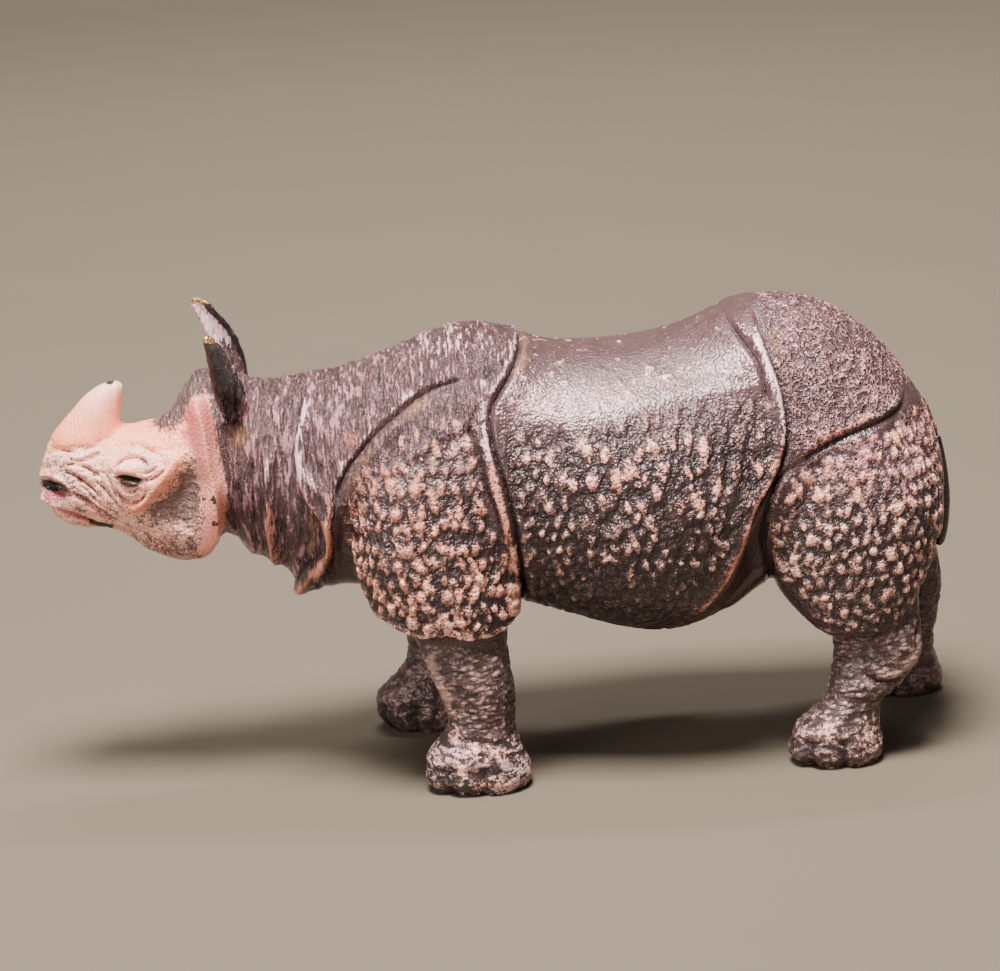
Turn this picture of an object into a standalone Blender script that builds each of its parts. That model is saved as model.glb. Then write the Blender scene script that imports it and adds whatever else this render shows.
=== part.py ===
"""A cast and cold-painted bronze rhinoceros, walking, modelled as one solid.

The animal faces -X and stands on z = 0, with its left side towards -Y. Metres, +Z up.
Closed lofts make the trunk, plates, limbs, horn, ears and tail. A voxel remesh casts
them into one body, the folds of the hide are carved into it, and the soles are cut flat.
"""

import math

import bmesh
import bpy
import numpy as np

# The driving size: muzzle to the heel of the hindmost foot. The pose, the
# proportions and the carving are shares of it: they are written in millimetres
# of a figure of MODEL_LENGTH and scaled to FIGURE_LENGTH.
FIGURE_LENGTH = 0.1526
MODEL_LENGTH = 152.6
UNIT = FIGURE_LENGTH / MODEL_LENGTH

CENTRE = 0.4            # x in the tables of the middle between muzzle and heel
GROUND = 0.4            # height in the tables at which the soles are cut flat
AXIS_HEIGHT = 50.0      # the hide is carved outwards from a line at this height
LINE_FADE = 3.0         # a fold dies away over this length at each end
LINE_STEPS = 5          # pieces of a fold's curve between two of its points

VOXEL = 0.7             # grain of the cast before it is thinned out
SMOOTH_ROUNDS = 3       # rounds of smoothing that soften where the forms meet
TRIANGLES = 9600        # faces kept in the finished solid
RING_POINTS = 40        # points round a loft
RING_STEPS = 4          # rings between two stations of a loft

BRONZE_PAINT = (0.13, 0.105, 0.1, 1.0)
PAINT_ROUGHNESS = 0.42
PAINT_METALLIC = 0.25

# Trunk, neck and head: upright sections from the muzzle to the rump.
# x, top, widest level, bottom, half width, squareness above, squareness below
TRUNK = (
    (-75.9, 54.6, 52.6, 50.6, 2.6, 2.0, 2.0),    # tip of the lips
    (-75.2, 57.0, 52.8, 49.2, 4.6, 2.0, 2.0),
    (-73.6, 60.0, 53.2, 47.6, 5.9, 2.0, 2.0),    # nostrils
    (-70.5, 61.6, 53.6, 46.0, 6.8, 2.0, 2.0),
    (-66.0, 62.0, 53.4, 44.9, 7.4, 2.0, 2.0),    # under the horn
    (-62.0, 61.8, 54.0, 43.2, 8.4, 2.1, 2.0),    # eyes
    (-58.5, 62.0, 53.8, 40.2, 9.8, 2.2, 2.0),
    (-55.0, 63.3, 52.6, 38.7, 11.0, 2.1, 2.0),   # cheekbones
    (-52.0, 66.6, 52.0, 38.2, 11.9, 1.9, 2.1),
    (-49.2, 69.9, 52.0, 38.8, 12.1, 1.9, 2.1),   # back of the jaw
    (-46.4, 70.4, 53.0, 41.4, 11.6, 1.9, 1.9),
    (-44.4, 70.2, 53.0, 40.2, 11.9, 1.9, 1.8),   # throat
    (-42.4, 69.9, 53.0, 37.8, 12.5, 1.9, 1.7),   # first flap
    (-39.6, 69.0, 53.0, 36.8, 13.4, 1.9, 1.7),
    (-36.9, 68.6, 52.0, 34.6, 14.2, 1.9, 1.6),
    (-35.2, 68.6, 51.6, 31.8, 14.7, 1.9, 1.6),   # tip of the bib
    (-32.0, 68.8, 51.0, 31.4, 15.8, 1.9, 1.6),
    (-27.4, 69.3, 50.5, 32.4, 17.1, 1.9, 1.8),
    (-21.0, 70.7, 50.0, 31.6, 18.6, 1.9, 1.9),   # chest
    (-14.0, 72.9, 50.0, 30.4, 19.8, 1.9, 2.0),
    (-7.0, 75.1, 49.5, 29.6, 20.8, 1.9, 2.1),    # withers
    (-1.0, 75.2, 49.0, 28.8, 21.4, 1.9, 2.2),
    (3.5, 73.2, 48.5, 27.6, 22.0, 2.0, 2.2),
    (9.0, 71.2, 48.0, 25.6, 23.2, 2.1, 2.2),     # saddle
    (16.0, 70.6, 47.0, 23.2, 24.8, 2.1, 2.2),
    (24.0, 70.9, 46.0, 21.5, 25.6, 2.1, 2.2),    # belly
    (31.0, 72.3, 46.0, 22.3, 25.2, 2.0, 2.2),
    (37.0, 74.7, 46.5, 25.0, 23.8, 2.0, 2.1),
    (42.0, 76.4, 47.5, 27.8, 22.2, 2.0, 2.0),    # hip fold
    (48.0, 76.6, 48.5, 29.8, 21.6, 2.0, 2.0),
    (54.0, 75.3, 48.5, 30.8, 21.4, 2.0, 2.0),    # rump
    (60.0, 71.7, 48.0, 31.6, 20.6, 2.0, 2.0),
    (65.5, 66.4, 47.0, 33.0, 18.8, 2.0, 2.0),
    (70.0, 59.6, 46.0, 35.0, 15.4, 2.0, 2.0),
    (72.6, 53.0, 45.0, 36.6, 11.0, 2.0, 2.0),
    (73.6, 48.4, 44.2, 39.6, 6.0, 2.0, 2.0),     # under the tail
)

# Plates and limbs: level sections, each from the top down.
# z, front, back, outer side, inner side; sides are distances from the middle.
SHOULDER_PLATE = (
    (68.0, -8.0, -3.5, 13.4, 9.0),
    (65.0, -12.4, -1.6, 16.4, 7.0),
    (60.0, -18.6, -0.6, 19.9, 5.0),
    (53.0, -24.0, 0.2, 22.6, 4.0),
    (45.0, -26.2, 1.0, 23.8, 4.0),
    (38.0, -25.6, 1.4, 24.0, 4.0),
    (33.0, -23.6, 1.5, 23.8, 5.0),
    (29.4, -21.0, 0.8, 23.2, 6.0),
    (27.4, -17.6, -1.4, 22.0, 7.6),
    (26.5, -13.4, -5.0, 19.8, 9.6),
)
THIGH_PLATE = (
    (62.0, 51.0, 60.0, 17.0, 7.0),
    (57.5, 46.5, 65.0, 20.0, 5.0),
    (52.0, 43.6, 69.0, 22.0, 4.0),
    (46.0, 42.2, 71.6, 23.2, 3.0),
    (40.0, 41.8, 71.8, 23.6, 3.0),
    (34.0, 42.6, 70.2, 23.2, 3.4),
    (29.0, 44.8, 68.0, 22.8, 4.6),
    (25.4, 47.6, 66.0, 22.4, 6.4),
    (23.0, 50.2, 63.6, 21.6, 8.4),
    (21.8, 53.0, 60.6, 20.0, 11.0),
)
NEAR_FORE_LEG = (
    (40.0, -17.0, -1.6, 20.6, 9.0),
    (29.0, -16.8, -0.8, 21.2, 9.2),
    (24.4, -15.8, -1.0, 21.4, 9.8),
    (20.6, -14.2, -0.6, 21.6, 10.4),
    (16.8, -12.6, -0.2, 21.6, 11.0),
    (13.0, -11.7, -0.4, 21.2, 11.4),
    (10.4, -12.2, -0.5, 21.2, 11.2),
    (8.0, -14.2, 0.2, 22.0, 10.4),
    (5.6, -15.9, 1.0, 22.8, 9.6),
    (3.6, -16.4, 1.8, 23.2, 9.2),
    (2.0, -16.2, 1.8, 23.0, 9.4),
    (0.9, -15.2, 1.2, 22.2, 10.0),
    (-1.6, -13.4, -0.6, 21.0, 11.2),
)
FAR_FORE_LEG = (
    (40.0, -18.0, -3.0, 20.6, 9.0),
    (29.0, -18.4, -3.6, 21.4, 9.8),
    (22.0, -17.4, -4.6, 21.8, 10.8),
    (16.0, -16.8, -5.6, 22.0, 11.6),
    (12.6, -17.2, -6.0, 21.8, 12.0),
    (10.4, -18.8, -6.2, 22.0, 11.8),
    (8.4, -21.0, -6.0, 22.8, 11.4),
    (6.0, -23.0, -5.4, 23.4, 11.0),
    (3.8, -23.4, -5.0, 23.6, 10.8),
    (2.0, -22.8, -5.2, 23.4, 11.0),
    (0.9, -21.8, -5.8, 22.6, 11.6),
    (-1.6, -20.0, -7.6, 21.4, 12.8),
)
NEAR_HIND_LEG = (
    (40.0, 51.0, 67.0, 20.0, 7.0),
    (30.0, 51.4, 67.2, 19.6, 7.6),
    (25.0, 52.0, 67.4, 19.8, 8.6),
    (21.0, 52.5, 67.4, 20.2, 9.4),
    (18.0, 52.6, 67.2, 20.4, 10.0),
    (15.4, 52.0, 65.8, 20.6, 10.6),
    (12.8, 51.3, 62.8, 20.8, 11.2),
    (10.6, 50.2, 60.4, 20.8, 11.2),
    (8.6, 48.2, 60.0, 21.4, 10.8),
    (6.6, 45.8, 59.9, 22.2, 10.2),
    (4.6, 44.4, 60.2, 22.8, 9.6),
    (3.0, 43.9, 60.4, 23.0, 9.4),
    (1.8, 44.2, 60.2, 22.8, 9.6),
    (0.9, 45.2, 59.6, 22.0, 10.2),
    (-1.6, 47.0, 57.8, 20.8, 11.4),
)
FAR_HIND_LEG = (
    (40.0, 58.0, 73.4, 20.0, 7.0),
    (30.0, 60.6, 75.2, 20.4, 8.2),
    (25.0, 62.4, 76.2, 20.8, 9.4),
    (20.0, 64.0, 76.8, 21.0, 10.6),
    (15.6, 65.0, 76.3, 21.2, 11.6),
    (12.0, 64.8, 75.6, 21.2, 12.0),
    (9.4, 64.0, 75.4, 21.4, 11.8),
    (7.2, 62.2, 75.6, 22.2, 11.4),
    (5.0, 60.9, 76.3, 22.8, 11.0),
    (3.2, 60.4, 76.8, 23.0, 10.8),
    (1.8, 60.8, 76.6, 22.8, 11.0),
    (0.9, 61.8, 76.0, 22.0, 11.6),
    (-1.6, 63.6, 74.2, 20.8, 12.8),
)
HORN = (
    (69.3, -63.4, -61.5, 0.9, -0.9),
    (68.5, -65.4, -60.9, 1.8, -1.8),
    (67.0, -67.6, -61.1, 2.5, -2.5),
    (65.0, -69.5, -61.6, 3.2, -3.2),
    (63.0, -71.5, -61.9, 3.9, -3.9),
    (61.0, -73.0, -61.7, 4.8, -4.8),
    (58.6, -74.2, -60.8, 5.4, -5.4),
    (56.0, -74.6, -60.4, 5.4, -5.4),
)

# Ears and tail are profiles carried along a path.
# x, y, z of the path, half width, half depth
NEAR_EAR = (
    (-42.8, -8.2, 63.0, 2.3, 2.1),
    (-43.1, -8.9, 66.2, 2.8, 2.4),
    (-43.6, -9.8, 69.4, 2.9, 2.4),
    (-44.3, -10.7, 72.6, 2.4, 2.0),
    (-45.2, -11.5, 75.6, 1.7, 1.6),
    (-46.0, -12.1, 77.8, 1.1, 1.2),
    (-46.3, -12.3, 78.7, 0.6, 0.6),
)
FAR_EAR = (
    (-43.0, 8.2, 63.0, 2.3, 2.1),
    (-42.8, 8.9, 66.2, 2.9, 2.4),
    (-43.3, 9.7, 70.0, 3.0, 2.4),
    (-44.5, 10.6, 73.6, 2.7, 2.0),
    (-46.3, 11.3, 76.6, 2.1, 1.7),
    (-48.0, 11.8, 78.7, 1.5, 1.3),
    (-49.0, 12.0, 79.6, 0.8, 0.8),
)
TAIL = (
    (67.0, 0.0, 61.0, 2.4, 1.6),
    (71.2, 0.0, 54.6, 2.2, 1.6),
    (73.3, 0.0, 47.6, 2.0, 1.5),
    (74.2, 0.0, 41.0, 1.8, 1.4),
    (74.0, 0.0, 36.0, 1.9, 1.4),
    (73.5, 0.0, 32.6, 2.0, 1.2),
    (73.2, 0.0, 31.4, 1.4, 0.8),
)
EAR_HOLLOW = 0.55       # depth of the ear's hollow as a share of its half depth
EAR_TURN = 62.0         # degrees from straight ahead that the hollow faces inwards

# Folds of the hide, drawn on the side of the animal and cut or raised square to it.
# side (-1 near, 1 far, 0 both), height on the line, its half width,
# height beside it to the left of the way the line runs and to its right,
# distance at which those peak, and the line's points (x, z).
FOLDS = (
    # round ridge behind the jaw
    (0, 1.7, 1.7, -1.4, -0.9, 2.8,
     ((-49.4, 68.6), (-48.6, 65.0), (-48.0, 61.2), (-47.7, 56.8), (-47.2, 53.1), (-47.4, 48.8), (-48.0, 43.9), (-50.0, 40.4))),
    # cheekbone, with the hollow of the jaw under it
    (0, 1.0, 1.4, -1.2, 0.1, 2.8,
     ((-50.8, 60.4), (-52.9, 57.0), (-55.2, 54.0), (-58.2, 50.7), (-62.0, 48.6))),
    # slit of the eye between its lids
    (0, -1.0, 0.55, 0.5, 0.5, 1.0,
     ((-63.4, 55.4), (-61.7, 54.7), (-60.0, 54.5), (-58.2, 54.9), (-56.6, 55.5))),
    # bag under the eye
    (0, -0.6, 0.6, 0.3, 0.1, 1.0,
     ((-63.0, 54.4), (-61.8, 52.5), (-59.6, 52.1), (-57.6, 53.6), (-55.6, 55.0))),
    # crease from the eye to the cheekbone
    (0, -0.6, 0.6, 0.2, 0.3, 1.0,
     ((-58.6, 54.8), (-57.0, 56.0), (-55.4, 57.0), (-53.6, 57.8))),
    # wrinkles of the nose
    (0, -0.35, 0.6, 0.2, 0.2, 1.0, ((-73.4, 58.2), (-70.4, 58.4), (-67.6, 58.6), (-64.6, 59.4))),
    (0, -0.35, 0.6, 0.2, 0.2, 1.0, ((-72.6, 56.6), (-69.9, 56.2), (-67.4, 55.4), (-64.8, 53.6))),
    (0, -0.4, 0.6, 0.3, 0.2, 1.0, ((-70.6, 54.6), (-68.2, 52.8), (-66.0, 50.6), (-63.6, 48.2))),
    # mouth between its lips
    (0, -2.0, 0.75, 0.7, 0.6, 1.4,
     ((-77.4, 51.4), (-75.6, 50.7), (-74.2, 50.1), (-72.6, 49.6), (-70.2, 48.9), (-67.8, 47.8), (-65.5, 46.7),
      (-63.0, 45.8))),
    # first flap of the neck
    (0, 0.9, 1.2, -0.8, -0.2, 2.0,
     ((-37.4, 63.0), (-37.1, 59.2), (-38.2, 55.8), (-39.0, 52.2), (-38.8, 48.1), (-38.9, 44.0), (-38.6, 39.0),
      (-37.6, 33.0))),
    # rim of the bib, from the nape down to its tip
    (0, -0.6, 0.6, 1.2, -0.9, 1.5,
     ((-31.8, 68.8), (-32.1, 66.0), (-32.8, 63.4), (-33.8, 60.4), (-34.1, 58.2), (-34.0, 55.6), (-33.6, 52.9),
      (-32.7, 50.5), (-31.2, 48.3), (-30.3, 46.0), (-30.1, 42.2), (-31.7, 38.9), (-33.9, 35.8), (-36.4, 31.0),
      (-38.0, 28.0))),
    (0, 0.6, 0.9, -1.0, 0.0, 2.0,
     ((-33.6, 58.2), (-30.8, 53.6), (-28.5, 50.9), (-28.1, 47.0), (-28.8, 42.5), (-30.6, 38.0), (-32.4, 34.0))),
    # upper edge of the shoulder plate
    (0, -1.0, 0.7, 0.4, 0.8, 1.2,
     ((-2.0, 70.2), (-5.0, 68.9), (-9.4, 68.0), (-12.9, 66.5), (-15.7, 64.7), (-18.6, 62.6), (-20.8, 60.8),
      (-22.9, 58.7), (-25.2, 56.2), (-26.7, 53.6), (-27.5, 51.5), (-28.0, 46.0), (-28.4, 41.8), (-28.8, 36.0))),
    # crease of the withers
    (0, -0.4, 0.5, 0.1, 0.2, 1.0, ((-10.7, 73.6), (-10.9, 71.8), (-11.4, 69.8), (-11.6, 66.6))),
    # fold behind the shoulder, over the back and down to the belly
    (0, -1.0, 0.7, 0.4, 0.9, 1.4,
     ((5.4, 76.0), (4.6, 73.0), (3.4, 70.8), (1.2, 68.0), (-1.2, 65.2), (-2.0, 63.0), (-2.0, 60.2), (-1.4, 56.8),
      (-0.4, 52.8), (0.2, 49.7), (0.9, 45.2), (1.5, 39.7), (1.9, 33.8), (2.0, 27.0))),
    (0, -0.5, 0.5, 0.2, 0.1, 0.9,
     ((-2.0, 66.4), (-4.2, 63.9), (-5.1, 61.7), (-4.0, 57.3), (-3.3, 52.7), (-1.8, 48.0), (-0.8, 42.0))),
    # double fold of the hip
    (0, -0.7, 0.6, 0.5, 0.1, 1.2,
     ((37.8, 75.4), (38.3, 74.0), (39.6, 72.2), (41.1, 69.9), (42.0, 68.1), (42.4, 64.6))),
    (0, -0.8, 0.7, 0.0, 1.0, 1.4,
     ((42.6, 76.2), (42.9, 74.2), (43.2, 72.4), (44.1, 68.9), (45.1, 65.5), (45.6, 62.4), (45.8, 59.3),
      (45.4, 56.0), (44.4, 52.7), (43.2, 50.3), (41.6, 48.0), (39.9, 45.3), (38.7, 41.7), (37.4, 38.4),
      (35.6, 34.8), (33.2, 31.2), (31.4, 28.8), (29.0, 26.0), (27.0, 24.2))),
    # crease of the groin
    (0, -0.3, 0.6, 0.5, 0.0, 1.4, ((42.0, 35.0), (39.5, 32.4), (36.8, 29.8), (33.6, 26.6))),
    # overhanging fold of the rump, above the thigh plate
    (0, -1.0, 0.7, 0.1, 1.2, 1.8,
     ((67.2, 62.4), (66.0, 60.4), (64.4, 59.2), (61.9, 58.4), (58.6, 57.6), (55.6, 56.8), (52.9, 55.8),
      (50.6, 54.8), (48.8, 53.8), (46.0, 51.8))),
    # front edge of the thigh plate
    (0, -0.9, 0.9, 0.4, 0.0, 1.6,
     ((48.0, 52.6), (44.6, 51.4), (42.7, 48.3), (42.0, 44.0), (42.0, 39.3), (42.8, 32.6), (44.0, 28.0))),
    # creases above and below the hock
    (-1, -0.5, 0.6, 0.3, 0.3, 1.2, ((68.0, 19.0), (66.0, 16.2), (62.6, 14.4), (59.0, 14.8), (55.4, 17.6))),
    (1, -0.5, 0.6, 0.3, 0.3, 1.2, ((79.0, 18.0), (75.0, 15.2), (71.6, 14.0), (68.0, 15.0), (65.0, 17.6))),
    # tendon down the front of each foreleg
    (-1, 0.5, 0.8, -0.2, 0.0, 1.6, ((-15.8, 27.0), (-13.6, 21.6), (-11.8, 16.8), (-10.8, 11.0))),
    (1, 0.5, 0.8, -0.2, 0.0, 1.6, ((-17.0, 27.0), (-16.4, 21.6), (-16.0, 16.8), (-16.4, 11.0))),
)

# Bosses and hollows on the side of the animal, fading out from a middle.
# side, x, z of the middle, half length, half height, degrees the length rises, height
STAMPS = (
    (0, -60.2, 55.4, 2.6, 2.1, -15.0, 1.2),     # eyeball under its lids
    (0, -51.8, 51.0, 2.4, 4.6, -25.0, -1.2),    # hollow between cheekbone and jaw
    (0, -72.8, 53.2, 2.3, 1.5, -28.0, -2.2),    # nostril
    (0, -72.6, 55.3, 2.8, 0.9, -24.0, 0.6),     # rim over the nostril
    (0, -30.4, 43.6, 1.8, 4.6, 20.0, -0.5),     # recess inside the bib
    (0, -27.0, 44.0, 1.2, 6.0, 0.0, -0.7),      # recess before the shoulder plate
    (0, 40.4, 38.6, 2.6, 7.0, -18.0, -1.5),     # hollow of the groin
    (-1, 64.6, 20.4, 3.2, 3.4, 0.0, 0.6),       # near hock
    (1, 73.4, 19.6, 3.2, 3.4, 0.0, 0.6),        # far hock
    (-1, 56.0, 18.6, 3.6, 3.0, 30.0, -0.4),     # hollow of the shin
)

# Feet: side, x and distance out of the middle, half length, turn of the middle toe from ahead
FEET = (
    (-1, -7.2, 16.2, 8.6, 12.0),
    (1, -14.2, 17.2, 8.6, 12.0),
    (-1, 52.4, 16.2, 8.0, 12.0),
    (1, 68.8, 17.0, 8.0, 12.0),
)
TOE_SPREAD = 62.0       # degrees between the middles of two toes
TOE_CLEFT = 0.9         # depth of the cleft between two toes
NAIL_TOP = 6.2          # height of the cleft's top, where the skin covers the nails
NAIL_STEP = 0.45        # the skin stands this far over the nails


def eased_rows(rows, steps):
    """Rows with steps - 1 more between each two, on a Catmull-Rom curve through every column."""
    rows = np.asarray(rows, float)
    padded = np.vstack([2 * rows[0] - rows[1], rows, 2 * rows[-1] - rows[-2]])
    t = (np.arange(steps) / steps)[None, :, None]
    a, b, c, d = (padded[i:len(padded) - 3 + i][:, None, :] for i in range(4))
    curve = 0.5 * (2 * b + (c - a) * t + (2 * a - 5 * b + 4 * c - d) * t**2 + (3 * b - a - 3 * c + d) * t**3)
    return np.vstack([curve.reshape(-1, rows.shape[1]), rows[-1]])


def superellipse(turn, power):
    """Cosine and sine of the turn, each raised to 2 / power and keeping its sign."""
    c, s = np.cos(turn), np.sin(turn)
    return np.sign(c) * np.abs(c) ** (2 / power), np.sign(s) * np.abs(s) ** (2 / power)


def upright_rings(rows):
    """Rings of the trunk: at each x a superellipse whose upper and lower halves differ."""
    x, top, level, bottom, half, above, below = eased_rows(rows, RING_STEPS).T[:, :, None]
    turn = np.linspace(0, 2 * math.pi, RING_POINTS, endpoint=False)[None, :]
    upper = np.sin(turn) >= 0
    across, up = superellipse(turn, np.where(upper, above, below))
    z = level + up * np.where(upper, top - level, level - bottom)
    return np.stack([x + 0 * turn, half * across, z], axis=-1)


def level_rings(rows, side, power=2.3):
    """Rings of a plate or limb: at each z a superellipse between its front, back, outer and inner sides."""
    z, front, back, outer, inner = eased_rows(rows, RING_STEPS).T[:, :, None]
    turn = np.linspace(0, 2 * math.pi, RING_POINTS, endpoint=False)[None, :]
    along, across = superellipse(turn, power)
    x = (front + back) / 2 + (back - front) / 2 * along
    y = side * ((outer + inner) / 2 + (outer - inner) / 2 * across)
    return np.stack([x, y, z + 0 * turn], axis=-1)


def path_frames(path, facing):
    """Two unit vectors across a path at each point: one near the facing direction, one beside it."""
    ahead = np.gradient(path, axis=0)
    ahead /= np.linalg.norm(ahead, axis=1, keepdims=True)
    front = facing - (ahead @ facing)[:, None] * ahead
    front /= np.linalg.norm(front, axis=1, keepdims=True)
    return front, np.cross(ahead, front)


def path_rings(rows, facing, hollow=0.0):
    """Rings of an ear or tail: an oval carried along the path, hollowed on the side that it faces."""
    rows = eased_rows(rows, RING_STEPS)
    front, beside = path_frames(rows[:, :3], np.asarray(facing, float))
    turn = np.linspace(0, 2 * math.pi, RING_POINTS, endpoint=False)[None, :]
    across, deep = np.cos(turn), np.sin(turn)
    deep = np.where(deep > 0, deep * (1 - 2 * hollow * deep), deep)
    half, depth = rows[:, 3:4], rows[:, 4:5]
    return (
        rows[:, None, :3]
        + (half * across)[..., None] * beside[:, None, :]
        + (depth * deep)[..., None] * front[:, None, :]
    )


def shells():
    """Every closed form of the animal, as rings of points in model millimetres."""
    turn = math.radians(EAR_TURN)
    forms = [upright_rings(TRUNK), level_rings(HORN, 1, power=2.0)]
    for side in (-1, 1):
        forms.append(level_rings(SHOULDER_PLATE, side))
        forms.append(level_rings(THIGH_PLATE, side))
    for rows, side in ((NEAR_FORE_LEG, -1), (NEAR_HIND_LEG, -1), (FAR_FORE_LEG, 1), (FAR_HIND_LEG, 1)):
        forms.append(level_rings(rows, side))
    for rows, side in ((NEAR_EAR, -1), (FAR_EAR, 1)):
        inwards = (-math.cos(turn), -side * math.sin(turn), 0.0)
        forms.append(path_rings(rows, inwards, EAR_HOLLOW))
    forms.append(path_rings(TAIL, (1.0, 0.0, 0.0)))
    return forms


def cast_mesh(forms):
    """One mesh that holds each form as a closed skin: quads between its rings and a cap at each end."""
    made = bmesh.new()
    for rings in forms:
        loops = [[made.verts.new(point) for point in ring] for ring in rings]
        for low, high in zip(loops, loops[1:]):
            for i in range(RING_POINTS):
                j = (i + 1) % RING_POINTS
                made.faces.new((low[i], low[j], high[j], high[i]))
        made.faces.new(loops[0])
        made.faces.new(loops[-1])
    bmesh.ops.recalc_face_normals(made, faces=made.faces)
    mesh = bpy.data.meshes.new("rhinoceros")
    made.to_mesh(mesh)
    made.free()
    return mesh


def smooth_step(value, low, high):
    """0 below low, 1 above high, and an S between them."""
    t = np.clip((value - low) / (high - low), 0.0, 1.0)
    return t * t * (3.0 - 2.0 * t)


def bell(value, half_width):
    """1 at zero, falling to 1/e at the half width."""
    return np.exp(-((value / half_width) ** 2))


def beside(distance, peak):
    """0 at the line, 1 at the peak distance on its positive side, and dying away beyond."""
    share = np.maximum(distance, 0.0) / peak
    return share * np.exp(1.0 - share)


def from_line(flat, line):
    """Distance of each flat point from a line, positive to the left, and how far along the line it is."""
    start, step = line[:-1], np.diff(line, axis=0)
    length = np.linalg.norm(step, axis=1)
    run = np.concatenate([[0.0], np.cumsum(length)])
    best = np.full(len(flat), 1e9)
    signed, along = np.zeros(len(flat)), np.zeros(len(flat))
    for a, d, size, before in zip(start, step, length, run):
        rel = flat - a
        t = np.clip(rel @ d / size**2, 0.0, 1.0)
        off = rel - t[:, None] * d
        gap = np.linalg.norm(off, axis=1)
        nearer = gap < best
        turn = d[0] * rel[:, 1] - d[1] * rel[:, 0]
        best = np.where(nearer, gap, best)
        signed = np.where(nearer, np.where(turn >= 0, gap, -gap), signed)
        along = np.where(nearer, before + t * size, along)
    return signed, along, run[-1]


def outwards(points, normals):
    """1 where the hide faces away from the animal's axis, 0 on the inner sides of the legs."""
    away = points * (0.0, 1.0, 1.0) - (0.0, 0.0, AXIS_HEIGHT)
    away /= np.linalg.norm(away, axis=1, keepdims=True) + 1e-9
    return smooth_step((away * normals).sum(axis=1), 0.0, 0.35)


def on_side(points, side):
    """1 on the given side of the animal, or everywhere for side 0."""
    return np.ones(len(points)) if side == 0 else (points[:, 1] * side > 0).astype(float)


def fold_heights(points):
    """Sum of the folds at each point: the line's own groove or ridge, and the hide to its left and right."""
    flat = points[:, (0, 2)]
    height = np.zeros(len(points))
    for side, middle, half_width, left, right, peak, line in FOLDS:
        line = eased_rows(line, LINE_STEPS)
        reach = 4.0 * max(half_width, peak)
        low, high = line.min(axis=0) - reach, line.max(axis=0) + reach
        near = np.flatnonzero(((flat > low) & (flat < high)).all(axis=1) & (on_side(points, side) > 0))
        gap, along, full = from_line(flat[near], line)
        fade = smooth_step(along, 0.0, LINE_FADE) * smooth_step(full - along, 0.0, LINE_FADE)
        profile = middle * bell(gap, half_width) + left * beside(gap, peak) + right * beside(-gap, peak)
        height[near] += fade * profile
    return height


def stamp_heights(points):
    """Sum of the bosses and hollows at each point."""
    height = np.zeros(len(points))
    for side, x, z, half_length, half_height, rise, top in STAMPS:
        c, s = math.cos(math.radians(rise)), math.sin(math.radians(rise))
        dx, dz = points[:, 0] - x, points[:, 2] - z
        gap = np.hypot((dx * c + dz * s) / half_length, (dz * c - dx * s) / half_height)
        height += on_side(points, side) * top * np.exp(-(gap**3))
    return height


def toe_heights(points, normals):
    """Clefts between the three toes of each foot, and the step of the skin over their nails."""
    height = np.zeros(len(points))
    upright = smooth_step(np.hypot(normals[:, 0], normals[:, 1]), 0.3, 0.8)
    for side, x, out, half_length, turn in FEET:
        dx, dy = points[:, 0] - x, points[:, 1] * side - out
        angle = np.degrees(np.arctan2(dy, -dx)) - turn
        close = smooth_step(half_length + 3.0 - np.hypot(dx, dy), 0.0, 1.0)
        low = 1.0 - smooth_step(points[:, 2], NAIL_TOP - 1.2, NAIL_TOP)
        clefts = sum(bell(angle - k * TOE_SPREAD, 9.0) for k in (-0.5, 0.5))
        ends = sum(bell(angle - k * TOE_SPREAD, 9.0) for k in (-1.4, 1.4))
        nails = 1.0 - smooth_step(np.abs(angle), 1.4 * TOE_SPREAD, 1.5 * TOE_SPREAD)
        height -= upright * close * low * (TOE_CLEFT * (clefts + 0.5 * ends) + NAIL_STEP * nails)
    return height


def carve(mesh):
    """Moves every point of the cast square to its surface by the folds, bosses and toes."""
    count = len(mesh.vertices)
    points, normals = np.empty(count * 3), np.empty(count * 3)
    mesh.vertices.foreach_get("co", points)
    mesh.vertex_normals.foreach_get("vector", normals)
    points, normals = points.reshape(-1, 3), normals.reshape(-1, 3)
    height = outwards(points, normals) * (fold_heights(points) + stamp_heights(points))
    height += toe_heights(points, normals)
    points += normals * height[:, None]
    points = (points - (CENTRE, 0.0, GROUND)) * UNIT
    mesh.vertices.foreach_set("co", points.ravel())
    mesh.update()


def with_modifier(obj, kind, **settings):
    """Gives the object a modifier, applies it by copying the evaluated mesh, and removes it."""
    modifier = obj.modifiers.new(kind.title(), kind)
    for name, value in settings.items():
        setattr(modifier, name, value)
    graph = bpy.context.evaluated_depsgraph_get()
    old = obj.data
    obj.data = bpy.data.meshes.new_from_object(obj.evaluated_get(graph))
    obj.modifiers.clear()
    bpy.data.meshes.remove(old)


def flat_soles(mesh):
    """Cuts the feet flat on the ground and closes the cuts."""
    made = bmesh.new()
    made.from_mesh(mesh)
    whole = list(made.verts) + list(made.edges) + list(made.faces)
    cut = bmesh.ops.bisect_plane(made, geom=whole, plane_co=(0, 0, 0), plane_no=(0, 0, 1), clear_inner=True)
    rim = [e for e in cut["geom_cut"] if isinstance(e, bmesh.types.BMEdge)]
    bmesh.ops.holes_fill(made, edges=rim)
    bmesh.ops.triangulate(made, faces=made.faces)
    bmesh.ops.recalc_face_normals(made, faces=made.faces)
    made.to_mesh(mesh)
    made.free()


def paint():
    """The dark umber cold paint over bronze."""
    material = bpy.data.materials.new("painted_bronze")
    material.use_nodes = True
    shader = material.node_tree.nodes["Principled BSDF"]
    shader.inputs["Base Color"].default_value = BRONZE_PAINT
    shader.inputs["Roughness"].default_value = PAINT_ROUGHNESS
    shader.inputs["Metallic"].default_value = PAINT_METALLIC
    return material


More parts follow.
